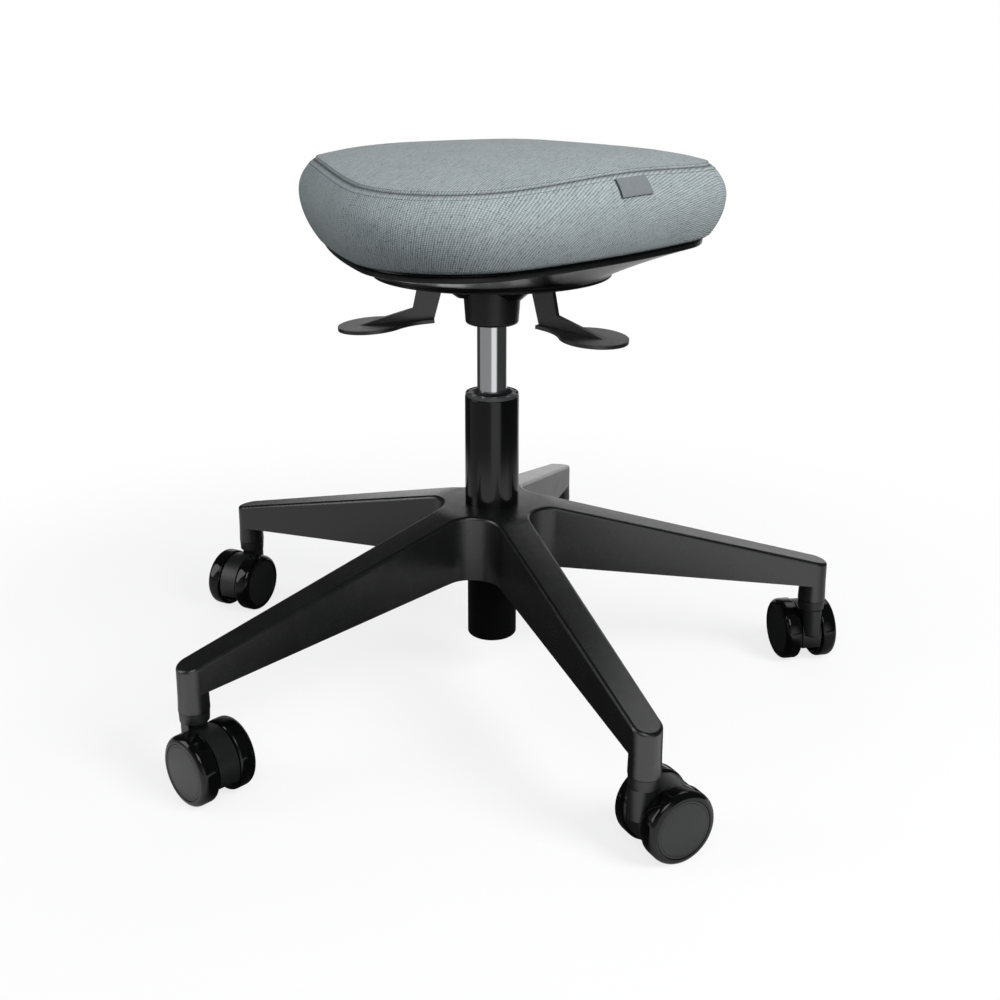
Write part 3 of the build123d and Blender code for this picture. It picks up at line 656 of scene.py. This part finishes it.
def cushion_form():
    """Mesh of the cushion from its foot over the sides and the seam to the crown, open in edit mode."""

    def side_ring(share):
        """Ring of the side at a share of the way from the seam down to the foot."""
        first = RINGS_BELOW[0]
        return lambda angle: side_point(angle, first + (seam_level(angle) - seat_low - first) * share)

    rings = [side_ring(1 - row / SIDE_ROWS) for row in range(SIDE_ROWS)]
    rings += [lambda angle, drop=drop: side_point(angle, drop) for drop in (*RINGS_BELOW, 0.0)]
    rings += [lambda angle, inside=inside: top_point(angle, inside) for inside in RINGS_ABOVE]
    for row in range(1, TOP_ROWS + 1):
        inside = RINGS_ABOVE[-1] + (TOP_BAND - RINGS_ABOVE[-1]) * row / TOP_ROWS
        rings.append(lambda angle, inside=inside: top_point(angle, inside))
    for row in range(1, CORE_ROWS + 1):
        rings.append(lambda angle, share=CORE_SHARE * row / CORE_ROWS: core_point(angle, share))

    piece = lofted("seat_cushion", rings)
    bpy.ops.mesh.fill_grid(span=SEAT_COLUMNS // 4)
    shape = bmesh.from_edit_mesh(piece.data)
    for vertex in shape.verts:
        reach = vertex.co.to_2d().length
        inside = outline_reach(angle_of(vertex.co), 0) - reach
        if inside > TOP_BAND:
            vertex.co.z = crown_level(angle_of(vertex.co), inside)
    bmesh.update_edit_mesh(piece.data)
    return piece


def close_foot():
    """Close the flat foot of the cushion that is open in edit mode."""
    select_vertices(lambda co: co.z < seat_low + MERGE)
    bpy.ops.mesh.extrude_edges_move()
    bpy.ops.transform.resize(value=(FOOT_SHRINK, FOOT_SHRINK, 1), center_override=(0, 0, seat_low))
    bpy.ops.mesh.fill_grid(span=SEAT_COLUMNS // 4)
    close_edit()


def lay_cloth(piece):
    """Flat pattern of the cover in metres, and the painted shade along its seam groove."""
    shape = bmesh.new()
    shape.from_mesh(piece.data)
    flat = shape.loops.layers.uv.new("cloth")
    shade = shape.verts.layers.float.new("seam_shade")
    for face in shape.faces:
        for loop in face.loops:
            co = loop.vert.co
            angle = angle_of(co)
            reach = co.to_2d().length
            drop = seam_level(angle) - co.z
            if drop > 0:
                reach = outline_reach(angle, 0) + SIDE_STRETCH * drop
            loop[flat].uv = (reach * math.cos(angle), reach * math.sin(angle))
    row = shape.verts.layers.int["row"]
    for vertex in shape.verts:
        vertex[shade] = SEAM_SHADE.get(vertex[row] - SEAM_ROW, 0.0)
    shape.to_mesh(piece.data)
    shape.free()


def ring_of(piece, row):
    """Points of one ring of the cushion in order, with the normals there."""
    numbers = piece.data.attributes["row"].data
    ring = [vertex for vertex in piece.data.vertices if numbers[vertex.index].value == row]
    return sorted(((v.co.copy(), v.normal.copy()) for v in ring), key=lambda pair: angle_of(pair[0]))


CLOTH_FRAMES = 20
CLOTH_REACH = 0.004
HELD_FOOT = 0.001
CLOTH_SETTINGS = {
    "use_pressure": True,
    "uniform_pressure_force": 2.5,
    "quality": 6,
    "mass": 0.3,
    "tension_stiffness": 25,
    "compression_stiffness": 25,
    "bending_stiffness": 2,
}


def inflate(piece):
    """Let the cover swell as cloth over its filling, held at the seam and the foot."""
    rest = [vertex.co.copy() for vertex in piece.data.vertices]
    numbers = piece.data.attributes["row"].data
    held = piece.vertex_groups.new(name="held")
    stitched = range(SEAM_ROW - STITCH_ROW, SEAM_ROW + STITCH_ROW + 1)
    firm = [
        vertex.index for vertex in piece.data.vertices
        if numbers[vertex.index].value in stitched or vertex.co.z < seat_low + HELD_FOOT
    ]
    held.add(firm, 1.0, "REPLACE")
    cloth = piece.modifiers.new("Cloth", "CLOTH")
    cloth.settings.vertex_group_mass = held.name
    cloth.settings.effector_weights.gravity = 0
    for key, value in CLOTH_SETTINGS.items():
        setattr(cloth.settings, key, value)
    cloth.point_cache.frame_end = CLOTH_FRAMES
    for number in range(1, CLOTH_FRAMES + 1):
        bpy.context.scene.frame_set(number)
    pick(piece)
    bpy.ops.object.modifier_apply(modifier=cloth.name)
    bpy.context.scene.frame_set(1)
    for vertex, before in zip(piece.data.vertices, rest):
        step = vertex.co - before
        if step.length > CLOTH_REACH:
            vertex.co = before + step * (CLOTH_REACH / step.length)
    piece.vertex_groups.clear()


cushion = cushion_form()
close_foot()
lay_cloth(cushion)
inflate(cushion)

stitch_rings = [ring_of(cushion, SEAM_ROW - STITCH_ROW), ring_of(cushion, SEAM_ROW + STITCH_ROW)]
modify(cushion, "SUBSURF", levels=1, render_levels=1)
pick(cushion)
bpy.ops.object.shade_smooth()
stand_for(cushion, "fabric_cover", "foam_pad")


# Top stitching

STITCH_STEP = 0.0027
STITCH_HALVES = (0.0010, 0.00036, 0.00030)


def stitch_places(ring):
    """Even places along a closed ring: point, direction and normal of each stitch."""
    points = [pair[0] for pair in ring]
    lengths = [(points[(i + 1) % len(points)] - points[i]).length for i in range(len(points))]
    count = round(sum(lengths) / STITCH_STEP)
    pitch = sum(lengths) / count
    places, walked, index = [], 0.0, 0
    for number in range(count):
        while walked + lengths[index] < number * pitch:
            walked += lengths[index]
            index += 1
        after = (index + 1) % len(points)
        share = (number * pitch - walked) / lengths[index]
        point = points[index].lerp(points[after], share)
        normal = ring[index][1].lerp(ring[after][1], share).normalized()
        places.append((point, (points[after] - points[index]).normalized(), normal))
    return places


def top_stitching(rings):
    """Two rows of short stitches, one on each side of the seam."""
    bpy.ops.object.select_all(action="DESELECT")
    bpy.ops.mesh.primitive_uv_sphere_add(segments=6, ring_count=4, radius=1)
    stitch = named(bpy.context.object, "seam_stitches")
    stitch.data.transform(Matrix.Rotation(math.pi / 2, 4, "Y"))
    stitch.data.transform(Matrix.Diagonal((*STITCH_HALVES, 1)))
    sewn = bmesh.new()
    for ring in rings:
        for point, along, normal in stitch_places(ring):
            turn = Matrix((along, normal.cross(along), normal)).transposed().to_4x4()
            count = len(sewn.verts)
            sewn.from_mesh(stitch.data)
            sewn.verts.ensure_lookup_table()
            place = Matrix.Translation(point) @ turn
            bmesh.ops.transform(sewn, matrix=place, verts=sewn.verts[count:])
    sewn.to_mesh(stitch.data)
    sewn.free()
    pick(stitch)
    bpy.ops.object.shade_smooth()
    return stitch


stitches = top_stitching(stitch_rings)
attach(stitches, "seat")
stitches.data.materials.append(thread_finish)


# Casters: each wheel and cap is turned once about its axle and copied to the ten places

wheel_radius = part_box("wheel_left_1")[1].z / 2
WHEEL_INSIDE, WHEEL_OUTSIDE = 0.0103, 0.0263
WHEEL_BORE, WHEEL_HUB, WHEEL_RIM = 0.00406, 0.009, 0.0045
WHEEL_FLOOR, CAP_SEAT = 0.0170, 0.0243
HUB_EDGE, RIM_EDGE, TREAD_EDGE, SHOULDER = 0.0006, 0.0008, 0.0025, 0.0052
SEAT_PLAY, SEAT_EDGE = 0.0002, 0.0003
CAP_RADIUS, CAP_EDGE = 0.024, 0.0007
CAP_FACE = WHEEL_OUTSIDE - 0.0002
GROOVE, GROOVE_HALF, GROOVE_DEPTH, GROOVE_EDGE = CAP_RADIUS - 0.0021, 0.0003, 0.0004, 0.0002
HOOD_EDGE = 0.0006

wheel = turned("wheel", [
    (WHEEL_BORE, WHEEL_INSIDE),
    (WHEEL_HUB, WHEEL_INSIDE, HUB_EDGE),
    (WHEEL_HUB, WHEEL_FLOOR),
    (wheel_radius - WHEEL_RIM, WHEEL_FLOOR),
    (wheel_radius - WHEEL_RIM, WHEEL_INSIDE, RIM_EDGE),
    (wheel_radius, WHEEL_INSIDE, TREAD_EDGE),
    (wheel_radius, WHEEL_OUTSIDE, SHOULDER),
    (CAP_RADIUS + SEAT_PLAY, WHEEL_OUTSIDE, SEAT_EDGE),
    (CAP_RADIUS + SEAT_PLAY, CAP_SEAT),
    (WHEEL_BORE, CAP_SEAT),
])
cap = turned("cap", [
    (0.0, CAP_SEAT),
    (CAP_RADIUS, CAP_SEAT),
    (CAP_RADIUS, CAP_FACE, CAP_EDGE),
    (GROOVE + GROOVE_HALF, CAP_FACE, GROOVE_EDGE),
    (GROOVE, CAP_FACE - GROOVE_DEPTH, GROOVE_EDGE),
    (GROOVE - GROOVE_HALF, CAP_FACE, GROOVE_EDGE),
    (0.0, CAP_FACE),
], closed=False)

for number in CASTERS:
    for side, sign in SIDES.items():
        axle = joints[f"wheel_roll_{side}_{number}"]
        turn = (Vector(axle["axis"]) * sign).to_track_quat("Z", "Y").to_matrix().to_4x4()
        place = Matrix.Translation(Vector(axle["pos_m"])) @ turn
        stand_for(copied(wheel, f"tyre_{side}_{number}", place), f"wheel_{side}_{number}")
        stand_for(copied(cap, f"disc_{side}_{number}", place), f"cap_{side}_{number}")
    stand_for(softened(f"hood_{number}", f"caster_hood_{number}", HOOD_EDGE), f"caster_hood_{number}")
for pattern in (wheel, cap):
    bpy.data.objects.remove(pattern)


# Column

tube_low, tube_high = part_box("column_tube")
TUBE_WALL, TUBE_LOW_RADIUS, TUBE_FLOOR, ROD_HOLE = 0.0018, 0.0236, 0.003, 0.00406
TUBE_LOW_EDGE, TUBE_HIGH_EDGE = 0.0022, 0.0009
TAPER_LOW, TAPER_HIGH = 0.116, 0.175
tube = turned("lift_tube", [
    (ROD_HOLE, tube_low.z),
    (TUBE_LOW_RADIUS, tube_low.z, TUBE_LOW_EDGE),
    (TUBE_LOW_RADIUS, TAPER_LOW),
    (tube_high.x, TAPER_HIGH),
    (tube_high.x, tube_high.z, TUBE_HIGH_EDGE),
    (tube_high.x - TUBE_WALL, tube_high.z),
    (tube_high.x - TUBE_WALL, TAPER_HIGH),
    (TUBE_LOW_RADIUS - TUBE_WALL, TAPER_LOW),
    (TUBE_LOW_RADIUS - TUBE_WALL, tube_low.z + TUBE_FLOOR),
    (ROD_HOLE, tube_low.z + TUBE_FLOOR),
])
stand_for(tube, "column_tube")

bush_low, bush_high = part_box("guide_bush")
cylinder_low, cylinder_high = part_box("gas_cylinder")
cylinder_radius = cylinder_high.x
BUSH_BORE, BUSH_OUT = cylinder_radius + 0.0003, tube_high.x - TUBE_WALL - 0.0001
BUSH_MOUTH, MOUTH_DEPTH, MOUTH_EDGE, BUSH_EDGE = 0.019, 0.006, 0.0008, 0.0006
SLOTS, SLOT_STEPS, SLOT_SHARE = 12, 12, 0.55
SLOT_OUT, SLOT_IN, SLOT_DEPTH = 0.0240, 0.0222, 0.0018
bush = turned("slotted_bush", [
    (BUSH_BORE, bush_low.z),
    (BUSH_OUT, bush_low.z),
    (BUSH_OUT, tube_high.z),
    (bush_high.x, tube_high.z),
    (bush_high.x, bush_high.z, BUSH_EDGE),
    (SLOT_OUT, bush_high.z),
    (SLOT_IN, bush_high.z),
    (BUSH_MOUTH, bush_high.z, MOUTH_EDGE),
    (BUSH_BORE, bush_high.z - MOUTH_DEPTH),
], steps=SLOTS * SLOT_STEPS)
edit(bush)
select_faces(lambda co, normal: SLOT_IN < co.to_2d().length < SLOT_OUT and normal.z > 0.9
             and (angle_of(co) / (2 * math.pi) * SLOTS) % 1 < SLOT_SHARE)
bpy.ops.mesh.extrude_region_move(TRANSFORM_OT_translate={"value": (0, 0, -SLOT_DEPTH)})
bpy.ops.object.mode_set(mode="OBJECT")
stand_for(bush, "guide_bush")

NECK_RADIUS, NECK_LENGTH, CYLINDER_EDGE = 0.0132, 0.034, 0.0008
CYLINDER_BORE, PIN_BORE, VALVE_BLOCK = 0.0118, 0.00406, 0.040
cylinder = turned("bright_cylinder", [
    (CYLINDER_BORE, cylinder_low.z),
    (cylinder_radius, cylinder_low.z, CYLINDER_EDGE),
    (cylinder_radius, cylinder_high.z - NECK_LENGTH),
    (NECK_RADIUS, cylinder_high.z, CYLINDER_EDGE),
    (PIN_BORE, cylinder_high.z),
    (PIN_BORE, cylinder_high.z - VALVE_BLOCK),
    (CYLINDER_BORE, cylinder_high.z - VALVE_BLOCK),
])
stand_for(cylinder, "gas_cylinder")


# Pan under the cushion: a dish from the round skirt out to a rim that follows the seat

pan_floor, pan_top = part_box("seat_pan")[0].z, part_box("seat_board")[0].z
skirt_low, skirt_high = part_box("skirt_ring")
PAN_OPENING, BOARD_RADIUS, SKIRT_BORE, SKIRT_RADIUS = 0.084, 0.112, 0.097, 0.1085
LIP_LOW, LIP_HIGH, LIP_OUT = skirt_low.z + 0.0008, skirt_low.z + 0.0028, SKIRT_RADIUS + 0.0010
LIP_BORE_EDGE, LIP_LOW_EDGE, LIP_HIGH_EDGE = 0.0006, 0.0012, 0.0005
FLOOR_INSET, SKIRT_GAP = 0.0004, 0.0002
SHOULDER_LEVEL = skirt_low.z + 0.0036
RIM_INSET, RIM_LOW, RIM_HIGH = 0.0050, 0.4248, 0.4294
DISH_STEPS = 8
DISH_LOW, DISH_RADIUS, DISH_INSET = SHOULDER_LEVEL + 0.0026, SKIRT_RADIUS + 0.0034, RIM_INSET + 0.0010

# Shoulder over the skirt and seat of the board: rise and step outwards of each ring
SHOULDER_RINGS = (0.0, SKIRT_GAP), (0.0, 0.0014), (0.0006, 0.0022), (0.0016, 0.0028)
BOARD_RINGS = (0.0008, 0.0010), (0.0, 0.0004)

# Rim and inside of the dish: level of each ring and its step inwards from the rim
RIM_RINGS = (
    (RIM_LOW + 0.0003, 0.0004),
    (RIM_LOW + 0.0010, 0.0),
    (RIM_HIGH - 0.0008, -0.0004),
    (RIM_HIGH - 0.0002, 0.0),
    (RIM_HIGH, 0.0007),
    (RIM_HIGH, 0.0032),
    (seat_low - 0.0002, 0.0036),
    (seat_low - 0.0002, 0.0060),
    (RIM_LOW + 0.0020, 0.0072),
)


def pan_ring(level, radius, inset=0.0, share=0.0):
    """Ring at a level, between a circle and the seat's outline drawn in by an inset."""

    def place(angle):
        """Point of the ring at an angle."""
        reach = radius + (outline_reach(angle, -inset) - radius) * share
        return Vector((reach * math.cos(angle), reach * math.sin(angle), level))

    return place


def pan_dish():
    """Closed wall of the pan: floor round the opening, shoulder, dish, upright rim and the inside again."""
    rings = [
        pan_ring(pan_top, PAN_OPENING),
        pan_ring(pan_floor, PAN_OPENING),
        pan_ring(pan_floor, SKIRT_BORE - FLOOR_INSET),
        pan_ring(pan_floor, SKIRT_RADIUS + SKIRT_GAP),
    ]
    rings += [pan_ring(SHOULDER_LEVEL + rise, SKIRT_RADIUS + out) for rise, out in SHOULDER_RINGS]
    for step in range(DISH_STEPS + 1):
        share = step / DISH_STEPS
        rings.append(pan_ring(DISH_LOW + (RIM_LOW - DISH_LOW) * share, DISH_RADIUS, DISH_INSET, share))
    rings += [pan_ring(level, 0.0, RIM_INSET + step, 1.0) for level, step in RIM_RINGS]
    rings += [pan_ring(pan_top + rise, BOARD_RADIUS + out) for rise, out in BOARD_RINGS]
    rings.append(rings[0])
    piece = lofted("pan_dish", rings)
    close_edit()
    bpy.ops.object.shade_smooth_by_angle(angle=SMOOTH_ANGLE)
    return piece


stand_for(pan_dish(), "seat_pan")
stand_for(turned("skirt_lip", [
    (SKIRT_BORE, skirt_high.z),
    (SKIRT_BORE, LIP_LOW, LIP_BORE_EDGE),
    (LIP_OUT, LIP_LOW, LIP_LOW_EDGE),
    (LIP_OUT, LIP_HIGH, LIP_HIGH_EDGE),
    (SKIRT_RADIUS, LIP_HIGH),
    (SKIRT_RADIUS, skirt_high.z),
]), "skirt_ring")


# Moulded pieces with softened edges

LEVER_EDGE, HOUSING_EDGE = 0.0009, 0.0008
stand_for(softened("height_spoon", "height_lever", LEVER_EDGE), "height_lever")
stand_for(softened("tilt_spoon", "tilt_lever", LEVER_EDGE), "tilt_lever")
stand_for(softened("lift_housing", "mechanism_housing", HOUSING_EDGE), "mechanism_housing")


# Sewn tab: a plain tape folded back on itself

TAB_SIDE, TAB_SHIFT = math.radians(330), -0.0005
TAB_WIDTH, TAB_TOP, TAB_DROP = 0.036, 0.0040, 0.0130
TAB_GAP, TAB_TAPE, TAB_STANDOFF = 0.0014, 0.0005, 0.0007
TAB_COLUMNS, TAB_ROWS = 14, 8
TAB_FOLD = math.pi / 4, math.pi / 2, 3 * math.pi / 4


def sewn_tab():
    """Folded tape drawn flat, X along the seam, Y down and Z off the cloth, then laid on the cushion."""
    bend = TAB_GAP / 2
    front = [(0, TAB_DROP * step / TAB_ROWS, TAB_GAP) for step in range(TAB_ROWS + 1)]
    fold = [(0, TAB_DROP + bend * math.sin(turn), bend * (1 + math.cos(turn))) for turn in TAB_FOLD]
    back = [(0, TAB_DROP * step / TAB_ROWS, 0) for step in range(TAB_ROWS, -1, -1)]
    piece = single_vertex("sewn_tab")
    draw([*front, *fold, *back])
    bpy.ops.mesh.select_all(action="SELECT")
    for _ in range(TAB_COLUMNS):
        bpy.ops.mesh.extrude_region_move(TRANSFORM_OT_translate={"value": (TAB_WIDTH / TAB_COLUMNS, 0, 0)})
    close_edit()
    shape = bmesh.new()
    shape.from_mesh(piece.data)
    tape = shape.loops.layers.uv.new("tape")
    for face in shape.faces:
        for loop in face.loops:
            loop[tape].uv = loop.vert.co.to_2d()
    for vertex in shape.verts:
        along, drop, off = vertex.co
        angle = TAB_SIDE + (TAB_SHIFT + along - TAB_WIDTH / 2) / outline_reach(TAB_SIDE, 0)
        _, surface, normal, _ = cushion.closest_point_on_mesh(side_point(angle, TAB_TOP + drop))
        vertex.co = surface + normal * (off + TAB_STANDOFF)
    shape.to_mesh(piece.data)
    shape.free()
    modify(piece, "SOLIDIFY", thickness=TAB_TAPE, offset=0)
    pick(piece)
    bpy.ops.object.shade_smooth_by_angle(angle=SMOOTH_ANGLE)
    return piece


stand_for(sewn_tab(), "label_tab")


# Floor, light and camera

FLOOR_SIZE = 16.0
WHITE, PALE, SHADED = (1, 1, 1, 1), (0.93, 0.93, 0.93, 1), (0.15, 0.15, 0.15, 1)
FILL, FILL_LEVEL = (0.94, 0.98, 1.0, 1), 0.26

# Distances from the column at which the floor passes into white, and the levels of the painted reflection it glows
# with to glossy rays: painted shade under the stool, a grey near floor brighter in front, then the cards
FADE, NEAR_WHITE = (0.36, 0.90), 0.78
UNDER, UNDER_PAINTED_SHADE = (0.32, 0.37), 0.03
NEAR, NEAR_LEVEL = (0.60, 0.85), 0.45

# Cards by their angles round the column; the back card and the skylight count from the opposite side
CARD_SOFT = math.radians(7)
FRONT = math.radians(-138), math.radians(0)
LEFT_EDGE, LEFT_LEVEL, RIGHT_LEVEL = math.radians(-80), 0.32, 0.05
WINDOW, WINDOW_LEVEL = (math.radians(-80), math.radians(-40)), 1.0
BACK, BACK_LEVEL = (math.radians(-115), math.radians(-62)), 1.0
CEILING, CEILING_LEVEL = (0.08, 0.62), 0.05
SKYLIGHT, SKYLIGHT_LEVEL = (math.radians(-120), math.radians(-90)), 1.5
SKYLIGHT_RISE, SKYLIGHT_SOFT = (0.64, 0.90), 0.05

SEAT_MIDDLE = Vector((0, 0, 0.45))
LAMPS = {
    "key_box": {"place": (2.05, -0.95, 1.80), "size": (1.1, 1.4), "power": 66, "mirrored": False},
    "front_box": {"place": (0.3, -1.8, 1.8), "size": (1.2, 1.0), "power": 12, "mirrored": True},
    "left_box": {"place": (-2.0, -0.9, 1.1), "size": (0.9, 1.6), "power": 12, "mirrored": True},
    "back_box": {"place": (-0.4, 2.2, 0.60), "size": (1.6, 0.6), "power": 10, "mirrored": False},
}
SENSOR, LENS, SHIFT = 36.0, 45.43, (0.0105, -0.12)
CAMERA_AWAY, CAMERA_HEIGHT = 1.1419, 0.5975
CAMERA_TURN, CAMERA_YAW, CAMERA_PITCH = math.radians(14.775), 0.0021, 0.2562


def cards(shading, x, y):
    """Brightness of the cards by direction: white window and back, grey left, dark right."""
    turn = shading.math("ARCTAN2", y, x)
    opposite = shading.math("ARCTAN2", 0 - y, 0 - x)
    left = 1 - turn.smooth(LEFT_EDGE - CARD_SOFT, LEFT_EDGE + CARD_SOFT)
    level = RIGHT_LEVEL + (LEFT_LEVEL - RIGHT_LEVEL) * left
    level = level + (WINDOW_LEVEL - level) * shading.between(turn, *WINDOW, CARD_SOFT)
    return level + (BACK_LEVEL - level) * shading.between(opposite, *BACK, CARD_SOFT)


def studio_floor():
    """Pale floor that keeps a soft shadow and passes into white away from the stool; to glossy rays it glows with
    a painted reflection, dark under the stool.
    """
    bpy.ops.object.select_all(action="DESELECT")
    bpy.ops.mesh.primitive_plane_add(size=FLOOR_SIZE)
    floor = named(bpy.context.object, "studio_floor")
    finish = Finish("studio_floor")
    x, y, _ = finish.axes(finish.place())
    away = (x * x + y * y) ** 0.5
    seen = finish.ray("Camera") + finish.ray("Transmission")
    finish.set(Base_Color=finish.mix(seen, SHADED, PALE), Roughness=0.9, Specular_IOR_Level=0.0)
    white = finish.node("ShaderNodeEmission", {"Color": WHITE})
    whiten = NEAR_WHITE + (1 - NEAR_WHITE) * away.smooth(*FADE)
    # Painted reflection that glossy rays see instead of the lit floor: grey near the stool, brighter in front, the
    # cards further out
    front = finish.between(finish.math("ARCTAN2", y, x), *FRONT, CARD_SOFT)
    near = NEAR_LEVEL + (1 - NEAR_LEVEL) * front
    painted_reflection = near + (cards(finish, x, y) - near) * away.smooth(*NEAR)
    # Painted shade under the stool in the reflection, in place of the floor's shadow there
    painted_reflection = UNDER_PAINTED_SHADE + (painted_reflection - UNDER_PAINTED_SHADE) * away.smooth(*UNDER)
    card = finish.node("ShaderNodeEmission", {"Color": painted_reflection})
    surface = finish.blend(seen * whiten, Wire(finish, finish.shader.outputs[0]), white)
    surface = finish.blend(finish.ray("Glossy"), surface, card)
    finish.feed(finish.tree.nodes["Material Output"].inputs[0], surface)
    floor.data.materials.append(finish.material)


def studio_world():
    """White to the eye, cards under a dim ceiling with a skylight in reflections, a low fill as light."""
    world = bpy.data.worlds.new("studio")
    bpy.context.scene.world = world
    world.use_nodes = True
    sky = Shading(world.node_tree)
    x, y, z = sky.axes(sky.node("ShaderNodeTexCoord"))
    level = cards(sky, x, y)
    level = level + (CEILING_LEVEL - level) * z.smooth(*CEILING)
    opposite = sky.math("ARCTAN2", 0 - y, 0 - x)
    skylight = sky.between(opposite, *SKYLIGHT, CARD_SOFT)
    skylight = skylight * sky.between(z, *SKYLIGHT_RISE, SKYLIGHT_SOFT)
    level = level + (SKYLIGHT_LEVEL - level) * skylight
    fill = sky.node("ShaderNodeBackground", {"Color": FILL, "Strength": FILL_LEVEL})
    white = sky.node("ShaderNodeBackground", {"Color": WHITE})
    card = sky.node("ShaderNodeBackground", {"Color": level})
    surface = sky.blend(sky.ray("Camera") + sky.ray("Transmission"), fill, white)
    surface = sky.blend(sky.ray("Glossy"), surface, card)
    sky.feed(sky.tree.nodes["World Output"].inputs[0], surface)


def soft_box(name, place, size, power, mirrored):
    """Rectangular area lamp aimed at the seat, which bright surfaces mirror or not."""
    lamp = bpy.data.lights.new(name, "AREA")
    lamp.shape = "RECTANGLE"
    lamp.size, lamp.size_y = size
    lamp.energy = power
    box = bpy.data.objects.new(name, lamp)
    box.location = place
    box.rotation_euler = (SEAT_MIDDLE - Vector(place)).to_track_quat("-Z", "Y").to_euler()
    box.visible_glossy = mirrored
    bpy.context.scene.collection.objects.link(box)


def photo_camera():
    """Camera at the photo's viewing angle."""
    lens = bpy.data.cameras.new("photo_camera")
    lens.sensor_fit = "HORIZONTAL"
    lens.sensor_width, lens.lens = SENSOR, LENS
    lens.shift_x, lens.shift_y = SHIFT
    camera = bpy.data.objects.new("photo_camera", lens)
    across, back = CAMERA_AWAY * math.sin(CAMERA_TURN), CAMERA_AWAY * math.cos(CAMERA_TURN)
    camera.location = (across, -back, CAMERA_HEIGHT)
    camera.rotation_euler = (math.pi / 2 - CAMERA_PITCH, 0, CAMERA_TURN + CAMERA_YAW)
    bpy.context.scene.collection.objects.link(camera)
    bpy.context.scene.camera = camera


studio_floor()
studio_world()
for name, lamp in LAMPS.items():
    soft_box(name, **lamp)
photo_camera()
bpy.context.scene.view_settings.view_transform = "Standard"
